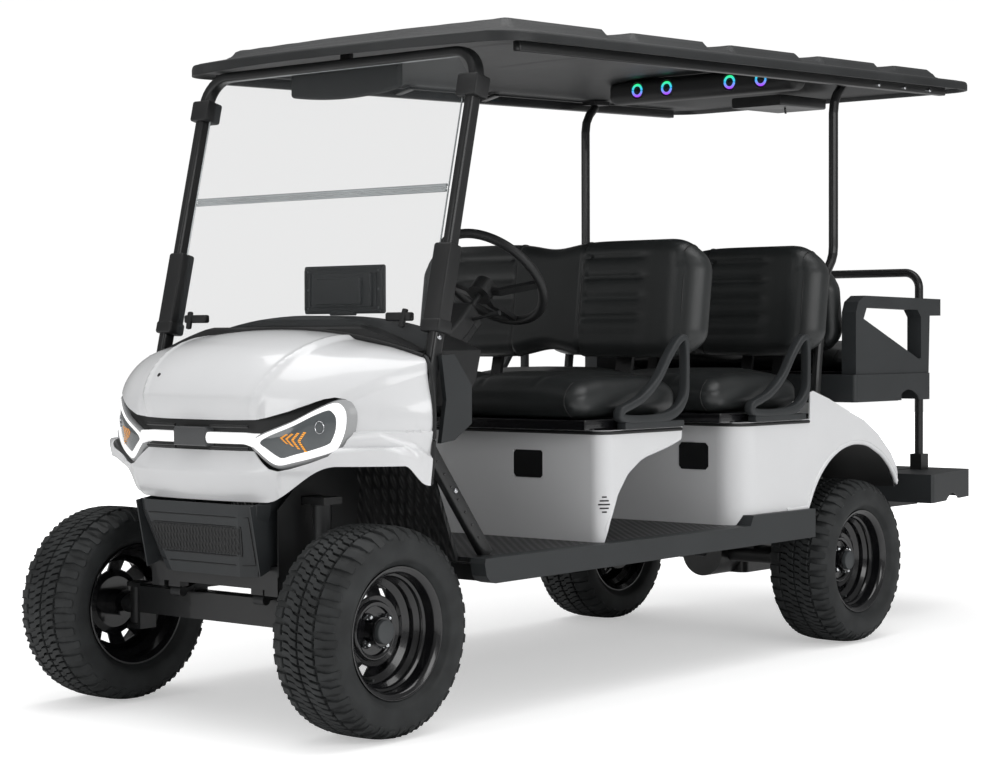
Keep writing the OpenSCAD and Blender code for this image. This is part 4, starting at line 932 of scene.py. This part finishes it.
def roof_top(u, v):
    """The canopy's upper face: rim, gutter, raised panels and a slight crown."""
    a, y = roof_plan(u, v)
    inside = roof_inside(u, v)
    rise = 0.020 + 0.012 * math.sqrt(max(0.0, 1 - (1 - min(1.0, inside / 0.014)) ** 2))
    rise += 0.006 * smooth((inside - 0.02) / 0.02)
    rise += 0.026 * smooth((inside - 0.075) / 0.060)
    panel = max(min(smooth((a - f) / 0.030), smooth((r - a) / 0.022)) for f, r in panel_ends)
    rise += 0.017 * panel * smooth((inside - 0.100) / 0.030)
    rise += 0.013 * (1 - min(1.0, (y / 0.5) ** 2)) * smooth((inside - 0.1) / 0.2)
    return Vector((axle_x - a, y, roof_edge(a) + rise))


def roof_under(u, v):
    """The canopy's lower face: a flat rim round a shallow dome."""
    a, y = roof_plan(u, v)
    inside = roof_inside(u, v)
    s = min(1.0, abs(y) / 0.5)
    dome = 0.060 * (1 - s ** 4) ** 0.8 * smooth(u / 0.2) * smooth((1 - u) / 0.12)
    rise = 0.0145 + dome if inside > 0.016 else 0.0005 + 0.014 * smooth((inside - 0.010) / 0.006)
    top = roof_top(u, v).z - 0.005
    return Vector((axle_x - a, y, min(top, roof_edge(a) + rise)))


def spread(count, edge):
    """Evenly spaced places from 0 to 1, with extra ones near both ends."""
    ends = [0.0, 0.15, 0.35, 0.6, 1.0]
    return [e * edge for e in ends] + [edge + (1 - 2 * edge) * k / count for k in range(1, count)] \
        + [1 - e * edge for e in reversed(ends)]


along, across = spread(230, 0.0085), [2 * w - 1 for w in spread(110, 0.016)]
top_sheet = [roof_top(u, v) for v in across for u in along]
under_sheet = [roof_under(u, v) for v in across for u in along]
sheet_faces = grid_faces(len(across), len(along))
roof_verts, roof_faces = thick_sheet(top_sheet, under_sheet, sheet_faces)
roof = piece("roof_canopy", roof_verts, [list(reversed(f)) for f in roof_faces], roof_grain, "body",
             "roof_grey", 50)
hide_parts("roof")


def bar(name, start, end, wide, tall, finish, slot, round_by=0.003):
    """A straight box-section bar with rounded edges between two points."""
    reach = (end - start).length
    ahead = (end - start).normalized()
    side = Vector((0, 1, 0)) if abs(ahead.y) < 0.9 else Vector((1, 0, 0))
    lift = ahead.cross(side).normalized()
    side = lift.cross(ahead)
    corner = []
    for cx, cy, first in ((1, 1, 0), (-1, 1, 90), (-1, -1, 180), (1, -1, 270)):
        for k in range(4):
            turn = math.radians(first + 30 * k)
            corner.append((cx * (wide / 2 - round_by) + round_by * math.cos(turn),
                           cy * (tall / 2 - round_by) + round_by * math.sin(turn)))
    steps = [0, round_by * 0.3, round_by, reach / 2, reach - round_by, reach - round_by * 0.3, reach]
    pinch = [0.7, 0.3, 0, 0, 0, 0.3, 0.7]
    verts = []
    for s, q in zip(steps, pinch):
        for x, y in corner:
            k = 1 - q * round_by / max(wide, tall) * 2
            verts.append(start + ahead * s + side * (x * k) + lift * (y * k))
    m = len(corner)
    faces = ring_faces(len(steps), m)
    faces += [list(reversed(range(m))), [(len(steps) - 1) * m + k for k in range(m)]]
    return piece(name, verts, faces, finish, "body", slot, 40)


def at(a, y, z):
    """A point by its distance behind the front axle, its side and its height."""
    return Vector((axle_x - a, y, z))


def bolt(name, place, out, radius, finish=chrome):
    """A domed bolt head facing out."""
    out = out.normalized()
    side = out.cross(Vector((0.3, 0.2, 1))).normalized()
    lift = out.cross(side)
    verts = []
    for r, h in ((1.0, -0.2), (1.0, 0.25), (0.8, 0.5), (0.45, 0.68)):
        verts += [place + out * (h * radius)
                  + (side * math.cos(math.pi * k / 8) + lift * math.sin(math.pi * k / 8)) * (r * radius)
                  for k in range(16)]
    faces = ring_faces(4, 16) + [[48 + k for k in range(16)], list(reversed(range(16)))]
    piece(name, verts, faces, finish, "body", "bare_steel", 40)


for side, way in both_sides:
    bar("roof_rail_" + side, at(0.50, way * 0.598, roof_edge(0.50) - 0.006),
        at(2.94, way * 0.598, roof_edge(2.94) - 0.004), 0.026, 0.030, frame_black, "frame_paint")
    for k, a in enumerate((2.46, 2.64, 2.82)):
        spot = at(a, way * 0.612, roof_edge(a) - 0.006)
        bolt("roof_bolt_%s_%d" % (side, k), spot, Vector((0, way, 0)), 0.007)
    for k, a in enumerate((0.86, 1.31, 1.76)):
        bar("roof_brace_%s_%d" % (side, k), at(a, way * 0.584, roof_edge(a) - 0.010),
            at(a, way * 0.515, roof_edge(a) + 0.006), 0.030, 0.010, frame_black, "frame_paint")
bar("roof_box", at(2.66, -0.02, roof_edge(2.7) - 0.010), at(2.98, -0.02, roof_edge(2.94) - 0.010), 0.22,
    0.040, frame_black, "trim_black", 0.008)
rope("roof_hook", [at(2.80, 0.02, roof_edge(2.8) - 0.030 - 0.004 * k) + Vector((0.003 * math.sin(k), 0, 0))
                   for k in range(6)], 0.004, frame_black, "frame_paint", 8)

# ---- windshield frame ----
# One black hoop of flattened tube: legs up from the floor, a knee at the cowl and
# a header bent round under the canopy. Sleeves, clamps and latches hold the sheets.


def sheet_a(z):
    """How far behind the front axle the leaning sheets are at a height."""
    return 0.223 + 0.235 * (z - 1.030)


def hoop_side(way):
    """One leg of the hoop from the floor to the start of the header."""
    run = [(a, 0.540, z) for a, z in ((0.430, 0.4485), (0.40, 0.486), (0.30, 0.612), (0.19, 0.752),
                                      (0.180, 0.775), (0.182, 0.810))]
    run += [(sheet_a(z), 0.540, z) for z in (0.95, 1.10, 1.30, 1.50, 1.70)]
    for k in range(9):
        turn = math.radians(90 * k / 8)
        z = 1.756 + 0.084 * math.sin(turn)
        run.append((sheet_a(z) + 0.002, 0.456 + 0.084 * math.cos(turn), z))
    return [at(a, way * y, z) for a, y, z in run]


def flat_tube(name, points, wide, thick, finish, slot):
    """A tube of flattened section swept along points, its long side fore and aft."""
    verts, sides = [], 16
    for i, p in enumerate(points):
        forward = (points[min(i + 1, len(points) - 1)] - points[max(i - 1, 0)]).normalized()
        fore = Vector((1, 0, 0)) - forward * forward.x
        fore.normalize()
        other = forward.cross(fore)
        for k in range(sides):
            turn = 2 * math.pi * (k + 0.5) / sides
            c, s = math.cos(turn), math.sin(turn)
            verts.append(p + fore * (wide / 2 * math.copysign(abs(c) ** 0.45, c))
                         + other * (thick / 2 * math.copysign(abs(s) ** 0.45, s)))
    faces = ring_faces(len(points), sides)
    faces += [list(reversed(range(sides))), [(len(points) - 1) * sides + k for k in range(sides)]]
    return piece(name, verts, faces, finish, "body", slot, 50)


left_run, right_run = hoop_side(1), hoop_side(-1)
header = [at(sheet_a(1.84) + 0.002, 0.456 - 0.912 * k / 12, 1.840) for k in range(1, 12)]
hoop = flat_tube("windshield_hoop", left_run + header + list(reversed(right_run)), 0.042, 0.029, frame_black,
                 "frame_paint")
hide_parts("windshield_struts")
# Light grey cords on the clear sheet's top edge, sides and fold are a painted highlight for the light that
# the cut edges catch. At the fold they also sit on the real hinge line.
edge_highlight = painted("edge_highlight", (0.50, 0.53, 0.54), 0.12, metal=0.35, coat=1.0, depth=0.0)
for side, way in both_sides:
    for kind, start, end, wide, tall, round_by in (
            ("sleeve_", (sheet_a(1.080), 0.532, 1.080), (sheet_a(1.300), 0.532, 1.300), 0.060, 0.052, 0.006),
            ("sleeve_foot_", (sheet_a(1.066), 0.532, 1.060), (sheet_a(1.100), 0.532, 1.095),
             0.066, 0.058, 0.006),
            ("sheet_clamp_", (sheet_a(1.705), 0.534, 1.705), (sheet_a(1.765), 0.534, 1.765),
             0.072, 0.060, 0.005),
            ("sheet_catch_", (sheet_a(1.094) - 0.010, 0.360, 1.105), (sheet_a(1.094) - 0.010, 0.452, 1.105),
             0.020, 0.024, 0.005),
            ("sheet_lever_", (sheet_a(1.08) - 0.022, 0.425, 1.076), (sheet_a(1.11) - 0.016, 0.43, 1.126),
             0.016, 0.012, 0.003)):
        bar(kind + side, at(start[0], way * start[1], start[2]), at(end[0], way * end[1], end[2]), wide, tall,
            gasket_black, "trim_black", round_by)
    for k, (a, z) in enumerate(((0.222, 1.048), (0.197, 0.764), (0.286, 0.632))):
        bolt("hoop_bolt_%s_%d" % (side, k), at(a, way * 0.5555, z), Vector((0, way, 0)), 0.0075)
    # Seven small dark domes up each leg stand for its holes: painted shade of the holes.
    for k in range(7):
        z = 0.50 + 0.036 * k
        a = 0.430 - (z - 0.4485) * 0.79
        spot = at(a - 0.006, way * 0.5545, z)
        bolt("hoop_hole_shade_%s_%d" % (side, k), spot, Vector((0, way, 0)), 0.0035, rim_black)
hinge_z = 1.457
for name, dz, r in (("upper", 0.0075, 0.0042), ("lower", -0.0075, 0.0042), ("middle", 0.0, 0.0030)):
    z = hinge_z + dz
    hinge_line = [at(sheet_a(z) - 0.004, -0.498 + 0.996 * k / 16, z) for k in range(17)]
    rope("sheet_hinge_" + name, hinge_line, r, edge_highlight, "clear_sheet", 10)
top_line = [at(sheet_a(1.826) - 0.001, -0.46 + 0.92 * k / 16, 1.8275) for k in range(17)]
rope("sheet_top_edge_highlight", top_line, 0.0035, edge_highlight, "clear_sheet", 10)
for side, way in both_sides:
    rope("sheet_side_highlight_" + side, [at(sheet_a(1.06 + 0.70 * k / 12) - 0.004, way * 0.5055, 1.06 + 0.70 * k / 12)
                                for k in range(13)], 0.0022, edge_highlight, "clear_sheet", 8)

# ---- seat bases ----
# White moulded bases under the benches: a black bead round the top edge, a rolled
# edge down the sweep of each side, a black socket plate and a stack of thin black
# strips, painted shade where the vent slits open.


def skin_tree(node):
    """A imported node's faces, ready to be met by rays."""
    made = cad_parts[node]
    return BVHTree.FromPolygons([made.matrix_world @ v.co for v in made.data.vertices],
                                [tuple(p.vertices) for p in made.data.polygons])


def patch(name, tree, rays, lift, thick, finish, slot):
    """A thin skin laid on a CAD face where each ray of a grid meets it."""
    outer, inner = [], []
    for row in rays:
        for start, aim in row:
            hit = tree.ray_cast(start, aim)[0] or start
            outer.append(hit - aim * lift)
            inner.append(hit + aim * thick)
    made = piece(name, *thick_sheet(outer, inner, grid_faces(len(rays), len(rays[0]))), finish, "body", slot)
    bm = bmesh.new()
    bm.from_mesh(made.data)
    bmesh.ops.recalc_face_normals(bm, faces=bm.faces)
    bm.to_mesh(made.data)
    bm.free()
    return made


def rounded_outline(y0, y1, z0, z1, r, rows=9):
    """Rows of a rounded rectangle: (z, low y, high y)."""
    for j in range(rows):
        z = z0 + (z1 - z0) * j / (rows - 1)
        k = max(0.0, r - min(z - z0, z1 - z))
        cut = r - math.sqrt(max(0.0, r * r - k * k))
        yield z, y0 + cut, y1 - cut


def facing_rays(outline, x, columns):
    """Rays that look backward from a plane ahead, over an outline."""
    return [[(Vector((x, y0 + (y1 - y0) * i / (columns - 1), z)), Vector((-1, 0, 0))) for i in range(columns)]
            for z, y0, y1 in outline]


def flat_plate(name, outline, x, finish, slot):
    """A 2 mm plate that faces forward."""
    front_side = [Vector((x, y0 + (y1 - y0) * i / 6, z)) for z, y0, y1 in outline for i in range(7)]
    back_side = [p - Vector((0.002, 0, 0)) for p in front_side]
    quads = grid_faces(len(front_side) // 7, 7)
    piece(name, *thick_sheet(front_side, back_side, quads), finish, "body", slot)


socket_black = painted("socket_black", (0.006, 0.0065, 0.007), 0.35, grain=500, depth=0.0004)
# each base's front face, rear edge and socket plate (sides, then heights)
pods = {"front_seat_pod": (0.892, 1.285, (0.263, 0.375, 0.630, 0.713)),
        "rear_body": (1.612, 2.02, (0.366, 0.479, 0.623, 0.709))}
bead_z = 0.768


def from_side(tree, x, z, way, least_y):
    """Where a level ray from outside the cart meets a base's side panel."""
    hit = tree.ray_cast(Vector((x, way * 0.9, z)), Vector((0, -way, 0)))[0]
    return hit if hit and abs(hit.y) > least_y else None


def panel_edge(on, off, meets):
    """The panel's edge between a place on it and one off it, kept just on the panel."""
    for _ in range(13):
        middle = (on + off) / 2
        on, off = (middle, off) if meets(middle) else (on, middle)
    return on


for node, (front, rear, plate) in pods.items():
    tree = skin_tree(node)
    proud = -0.0008 if node == "front_seat_pod" else 0.0022
    flat_plate("socket_plate_" + node, rounded_outline(*plate, 0.010), axle_x - front + proud, socket_black,
               "trim_black")
    run = []
    corner = Vector((axle_x - front - 0.06, 0.54, 0))
    for way in (1, -1):
        part = [(at(a, way * 0.9, bead_z), Vector((0, -way, 0)))
                for a in [rear - (rear - front - 0.075) * k / 16 for k in range(17)]]
        for k in range(1, 8):
            turn = math.radians(90 - 90 * k / 8)
            out = Vector((math.cos(turn), way * math.sin(turn), 0))
            part.append((Vector((corner.x, way * corner.y, bead_z)) + out * 0.4, -out))
        part += [(Vector((axle_x - front + 0.3, way * y, bead_z)), Vector((-1, 0, 0)))
                 for y in (0.535, 0.45, 0.3, 0.15, 0.03)]
        if way < 0:
            part.reverse()
        run += [hit - aim * 0.0010 for hit, aim in ((tree.ray_cast(s, a)[0], a) for s, a in part) if hit]
    rope("top_bead_" + node, run, 0.0055, gasket_black)
    for side, way in both_sides:
        sweep = []
        if node == "front_seat_pod":
            for k in range(26):
                z = 0.470 + 0.270 * k / 25
                a = panel_edge(front + 0.03, rear + 0.06, lambda a: from_side(tree, axle_x - a, z, way, 0.5))
                x = axle_x - a + 0.004
                hit = from_side(tree, x, z, way, 0.5)
                if hit:
                    sweep.append(Vector((x, hit.y - way * 0.0075, z)))
        else:
            for k in range(40):
                turn = math.radians(12 + 150 * k / 39)

                def arch(r):
                    return axle_x - wheelbase + r * math.cos(turn), tyre_outer + r * math.sin(turn)

                r = panel_edge(0.52, 0.26, lambda r: from_side(tree, *arch(r), way, 0.45))
                if r > 0.515:
                    continue
                x, z = arch(r + 0.004)
                hit = from_side(tree, x, z, way, 0.45)
                if hit:
                    sweep.append(Vector((x, hit.y - way * 0.003, z)))
        if len(sweep) > 4:
            rope("rolled_edge_%s_%s" % (node, side), sweep, 0.0085, shell_white, "shell_white", 12)
        # Thin black strips laid on the side stand for the vent slits: painted shade of the slit openings.
        for k, span in enumerate((0.4, 0.75, 1.0, 0.75, 0.4) if node == "front_seat_pod" else ()):
            z = 0.537 + 0.011 * k
            rays = []
            for step in (-0.0021, 0.0, 0.0021):
                row = []
                for i in range(9):
                    turn = math.radians(50 + 16 * span * (i / 4 - 1))
                    out = Vector((math.cos(turn), way * math.sin(turn), 0))
                    row.append((Vector((corner.x, way * corner.y, z + step)) + out * 0.3, -out))
                rays.append(row)
            patch("vent_slit_shade_%s_%d" % (side, k), tree, rays, 0.0008, 0.001, socket_black, "trim_black")
flat_plate("base_filler", rounded_outline(0.256, 0.380, 0.612, 0.752, 0.004), axle_x - 1.612 + 0.0006,
           shell_white, "shell_white")

# ---- floor and fascia ----
# The floor is black rubber with a small diamond tread. The fascia has a perforated
# black grille in a frame whose two grooves are drawn as dark cords, painted shade.


def treaded(name, colour, pitch, depth, rough):
    """Black moulding with crossed ribs at a given pitch."""
    made = painted(name, colour, rough)
    tree = made.node_tree
    place = add_node(tree, "TexCoord")
    turned_place = add_node(tree, "Mapping", {"Rotation": (0, 0, math.radians(45))})
    both = add_node(tree, "Math")
    both.operation = "MULTIPLY"
    bump = add_node(tree, "Bump", {"Strength": 1.0, "Distance": depth})
    wire(tree, (place, "Object", turned_place, "Vector"), (both, "Value", bump, "Height"),
         (bump, "Normal", tree.nodes["Principled BSDF"], "Normal"))
    for k, way in enumerate("XY"):
        ribs = add_node(tree, "TexWave", {"Scale": 0.314 / pitch})
        ribs.bands_direction = way
        wire(tree, (turned_place, "Vector", ribs, "Vector"), (ribs, "Fac", both, k))
    return made


floor_tread = treaded("floor_tread", (0.010, 0.0105, 0.011), 0.022, 0.004, 0.38)
grille_black = treaded("grille_black", (0.008, 0.0085, 0.009), 0.009, 0.003, 0.4)
fascia_tree = skin_tree("front_fascia")
grille = [(0.467 + 0.073 * j / 8, -(0.156 + 0.020 * j / 8), 0.156 + 0.020 * j / 8) for j in range(9)]
patch("fascia_grille", fascia_tree, facing_rays(grille, axle_x + 0.4, 25), 0.0012, 0.001, grille_black,
      "trim_black")
# Two dark cords round the grille stand for the frame's grooves: painted shade of the grooves.
for k, (grow, radius) in enumerate(((0.004, 0.0022), (0.030, 0.0018))):
    corners = [(-0.156 - grow, 0.467 - grow), (0.156 + grow, 0.467 - grow), (0.176 + grow, 0.540 + grow),
               (-0.176 - grow, 0.540 + grow)]
    loop = []
    for i in range(4):
        (y0, z0), (y1, z1) = corners[i], corners[(i + 1) % 4]
        loop += [(y0 + (y1 - y0) * s / 12, z0 + (z1 - z0) * s / 12) for s in range(12)]
    found = [fascia_tree.ray_cast(Vector((axle_x + 0.4, y, z)), Vector((-1, 0, 0)))[0] for y, z in loop]
    rope("fascia_groove_shade_%d" % k, [p for p in found if p], radius, socket_black, "trim_black", 8, True)

# ---- sound bar, mirror and display ----
# The sound bar has four cones with lit rings. The wide mirror curves forward at its
# ends. The display shows its ribbed back case to the windshield.
bar_low, bar_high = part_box("sound_bar")
sound_middle = (bar_low + bar_high) / 2
sound = piece("sound_bar_case", *block_at(sound_middle, (bar_high - bar_low) / 2, 0.030, 0.02), gasket_black,
              "body", "trim_black")
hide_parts("sound_bar")
ring_light, tree, shader = new_material("ring_light", {"Base Color": (0.1, 0.1, 0.12, 1),
                                                       "Emission Strength": 1.25})
place = add_node(tree, "NewGeometry")
split = add_node(tree, "SeparateXYZ")
rise = add_node(tree, "MapRange", {"From Min": sound_middle.z - 0.022, "From Max": sound_middle.z + 0.022})
colours = add_node(tree, "ValToRGB")
colours.color_ramp.elements[0].color = (0.33, 0.04, 0.85, 1)
colours.color_ramp.elements[1].color = (0.02, 0.80, 0.22, 1)
colours.color_ramp.elements.new(0.5).color = (0.03, 0.42, 0.85, 1)
wire(tree, (place, "Position", split, "Vector"), (split, "Z", rise, "Value"),
     (rise, "Result", colours, "Fac"), (colours, "Color", shader, "Emission Color"))
for k, y in enumerate((-0.265, -0.135, 0.135, 0.265)):
    middle = Vector((bar_high.x, y, sound_middle.z))

    def circle(r, x, count=48):
        turns = [2 * math.pi * i / count for i in range(count)]
        return [middle + Vector((x, r * math.cos(a), r * math.sin(a))) for a in turns]

    rope("speaker_ring_%d" % k, circle(0.0195, -0.0012), 0.0048, ring_light, "lamp_lens", 12, True)
    rope("speaker_rim_%d" % k, circle(0.0300, -0.0020), 0.0030, gasket_black, "trim_black", 10, True)
    cone_verts, cone_faces = turned([(0.0004, 0.0140), (0.0004, 0.0090), (0.0030, 0.0060),
                                     (0.0036, 0.0002)], 32)
    piece("speaker_cone_%d" % k, [Vector((bar_high.x - 0.0005 + y2, y + x, sound_middle.z + z))
                                  for x, y2, z in cone_verts], [list(reversed(f)) for f in cone_faces],
          socket_black, "body", "trim_black")
low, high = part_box("rear_view_mirror")
mirror_verts, _, mirror_faces = round_box(Vector((0.0110, 0.219, 0.046)), 0.0105, 0.012)
bow = [p + Vector((high.x - 0.0175 + 0.006 * (p.y / 0.22) ** 2, 0, low.z + 0.047 + 0.012 * (p.y / 0.22) ** 2
                   - 0.10 * p.z * (p.y / 0.22) ** 2)) for p in mirror_verts]
stem = block_at(Vector((high.x - 0.016, 0, high.z - 0.0265)), (0.008, 0.022, 0.026), 0.005, 0.01)
mirror_shell = piece("mirror_shell", *join([(bow, mirror_faces), stem]), gasket_black, "body", "trim_black")
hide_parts("rear_view_mirror")
low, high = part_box("display_screen")
middle_y, middle_z = (low.y + high.y) / 2, high.z - 0.0705
parts = [block_at(Vector((x, middle_y + y, middle_z + z)), half, r, 0.02) for half, r, x, y, z in (
    ((0.0065, 0.1595, 0.0700), 0.0060, 1.1780, 0, 0), ((0.0075, 0.118, 0.050), 0.005, 1.1900, 0, -0.002),
    ((0.0065, 0.088, 0.038), 0.004, 1.2033, 0, -0.006), ((0.0055, 0.0040, 0.060), 0.003, 1.1845, -0.150, 0),
    ((0.0055, 0.0040, 0.060), 0.003, 1.1845, 0.150, 0), ((0.0055, 0.148, 0.0035), 0.003, 1.1845, 0, 0.0625),
    ((0.0055, 0.148, 0.0035), 0.003, 1.1845, 0, -0.0625), ((0.0045, 0.0025, 0.048), 0.002, 1.1855, -0.131, 0),
    ((0.0045, 0.0025, 0.048), 0.002, 1.1855, 0.131, 0), ((0.012, 0.045, 0.0060), 0.004, 1.1850, 0, -0.0690))]
display = piece("display_case", *join(parts), gasket_black, "body", "screen")
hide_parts("display_screen")
for k in range(6):
    spot = Vector((1.1850, middle_y + (-0.141, 0.141)[k % 2], middle_z + (0.054, -0.054, 0.0)[k // 2]))
    bolt("display_screw_%d" % k, spot, Vector((1, 0, 0)), 0.0038, steel_grey)

# ---- fascia cheeks ----
# A flat dark plate, 4 mm thick, runs back from each side of the fascia to the
# frame's horn and closes the gap behind the grille.
for side, way in both_sides:
    outline = [(-0.166, 0.600), (-0.060, 0.618), (0.060, 0.640), (0.075, 0.590), (0.010, 0.500),
               (-0.075, 0.430), (-0.128, 0.412)]
    verts = [at(a, way * (0.228 - 0.020 * smooth((a + 0.166) / 0.24)), z) for a, z in outline]
    verts += [v - Vector((0, way * 0.004, 0)) for v in verts]
    n = len(outline)
    faces = [list(range(n)), [n + k for k in reversed(range(n))]]
    faces += [[(k + 1) % n, k, n + k, n + (k + 1) % n] for k in range(n)]
    piece("fascia_cheek_" + side, verts, faces if way < 0 else [f[::-1] for f in faces], moulded_grey, "body",
          "moulded_grey", 20)

# ---- hip loops and column ----
# Each forward bench has a bent hip loop at both ends, a swoop bar and an upright
# meeting at the top. Flat brackets carry the back rests.


def bent_bar(path, half_wide, half_thick, y):
    """A flat-sided bar swept along a closed path of (a, z, thickness) points."""
    verts, sides, count = [], 12, len(path)
    for i, (a, z, thick) in enumerate(path):
        before, after = path[i - 1], path[(i + 1) % count]
        forward = Vector((before[0] - after[0], 0, after[1] - before[1])).normalized()
        across = Vector((forward.z, 0, -forward.x))
        for k in range(sides):
            turn = 2 * math.pi * (k + 0.5) / sides
            c, s = math.cos(turn), math.sin(turn)
            verts.append(at(a, y, z) + across * (thick * half_thick * math.copysign(abs(c) ** 0.5, c))
                         + Vector((0, half_wide * math.copysign(abs(s) ** 0.5, s), 0)))
    return verts, ring_faces(count, sides, True)


def smooth_path(points, count):
    """Even steps along a closed curve through (a, z, thickness) points."""
    made, n = [], len(points)
    for k in range(count):
        u = k / count * n
        i, t = int(u), u - int(u)
        p = [points[(i + j) % n] for j in (-1, 0, 1, 2)]
        made.append(tuple(0.5 * (2 * p[1][c] + (p[2][c] - p[0][c]) * t
                                 + (2 * p[0][c] - 5 * p[1][c] + 4 * p[2][c] - p[3][c]) * t * t
                                 + (3 * p[1][c] - p[0][c] - 3 * p[2][c] + p[3][c]) * t ** 3)
                          for c in range(3)))
    return made


loop_shape = [(0.975, 0.812, 1.3), (1.030, 0.803, 1.5), (1.120, 0.800, 1.6), (1.205, 0.806, 1.6),
              (1.268, 0.830, 1.4), (1.303, 0.872, 1.1), (1.3085, 0.930, 0.9), (1.3085, 1.000, 0.9),
              (1.3050, 1.035, 1.0),
              (1.2900, 1.046, 1.1), (1.2600, 1.030, 1.1), (1.2150, 0.985, 1.1), (1.1600, 0.920, 1.1),
              (1.0850, 0.868, 1.2), (1.0200, 0.844, 1.2), (0.982, 0.832, 1.2)]
frame_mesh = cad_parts["seat_frames"]
spots = [frame_mesh.matrix_world @ v.co for v in frame_mesh.data.vertices]
kept = [list(p.vertices) for p in frame_mesh.data.polygons if all(abs(spots[v].y) < 0.55 for v in p.vertices)]
used = {v: k for k, v in enumerate(sorted({v for f in kept for v in f}))}
brackets = piece("back_brackets", [spots[v] for v in used], [[used[v] for v in f] for f in kept], frame_black,
                 "body", "frame_paint", 30)
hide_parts("seat_frames")
bench_pitch, loop_y = 0.700, 0.597
for bench, shift in (("front", 0.0), ("middle", bench_pitch)):
    for side, way in both_sides:
        path = [(a + shift, z, thick) for a, z, thick in smooth_path(loop_shape, 96)]
        flange = block_at(at(1.135 + shift, way * loop_y, 0.7860), (0.150, 0.0170, 0.0100), 0.004, 0.02)
        shape = join([bent_bar(path, 0.0165, 0.0098, way * loop_y), flange])
        piece("hip_loop_%s_%s" % (bench, side), *shape, moulded_grey, "body", "frame_paint", 50)
hub_spot, rake = at(0.770, 0.28, 1.225), math.radians(43)
axis = Vector((math.cos(rake), 0, -math.sin(rake)))
upward = Vector((-axis.z, 0, axis.x))


def along_column(d, up=0.0, y=0.0):
    """A point by its distance down the steering column from the wheel's hub."""
    return hub_spot + axis * d + upward * up + Vector((0, y, 0))


parts = []
for half, r, d, up in (((0.0710, 0.0490, 0.0300), 0.012, 0.2240, 0.014),
                       ((0.0600, 0.0400, 0.0300), 0.012, 0.2260, -0.014),
                       ((0.0200, 0.0440, 0.0400), 0.010, 0.1720, 0.0)):
    more, _, more_faces = round_box(Vector(half), r, 0.02)
    parts.append(([along_column(d + p.x, up + p.z, p.y * (1 - 0.25 * max(0.0, p.x) / 0.075)) for p in more],
                  more_faces))
shroud = piece("column_shroud", *join(parts), gasket_black, "body", "trim_black")
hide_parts("steering_column")
for name, start, long, radius, sides in (("column_tube", 0.28, 0.26, 0.022, 20),
                                         ("column_shaft", 0.53, 0.222, 0.012, 16)):
    run = [along_column(start + long * k / 8) for k in range(9)]
    rope(name, run, radius, trim_black, "trim_black", sides)
rope("column_stalk", [along_column(0.190, 0.004, 0.040), along_column(0.186, 0.008, 0.070),
                      along_column(0.180, 0.012, 0.110)], 0.0048, gasket_black)
rope("stalk_grip", [along_column(0.180, 0.012, 0.108), along_column(0.177, 0.014, 0.125),
                    along_column(0.174, 0.016, 0.146)], 0.0075, gasket_black, "trim_black", 12)

# ---- remaining finishes ----
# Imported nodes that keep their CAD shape: black paint on the steel, grey and black
# mouldings, white bases and a clear sheet.
shock_grey = painted("shock_grey", (0.030, 0.031, 0.032), 0.4, metal=0.4)
for finish, crease, nodes in (
        (frame_black, 32, ("chassis_frame", "front_axle", "rear_axle", "grab_bar", "roof_posts")),
        (moulded_grey, 32, ("front_fascia", "side_cowl_panels", "rear_seat_tray", "rear_armrests", "footrest",
                            "rocker_panels")),
        (floor_tread, 32, ("floor_pan",)),
        (trim_black, 32, ("splash_panels", "dash", "pedals", "steering_wheel")),
        (shell_white, 30, ("front_seat_pod", "rear_body")),
        (shock_grey, 32, ("left_knuckle", "right_knuckle", "tie_rod", "springs_and_shocks", "battery_pack"))):
    for node in nodes:
        wear(node, finish, crease)
clear_sheet, _, _ = new_material("clear_sheet", {"Base Color": (0.12, 0.13, 0.135, 1), "Roughness": 0.03,
                                                 "Alpha": 0.12, "IOR": 1.49})
wear("windshield", clear_sheet)
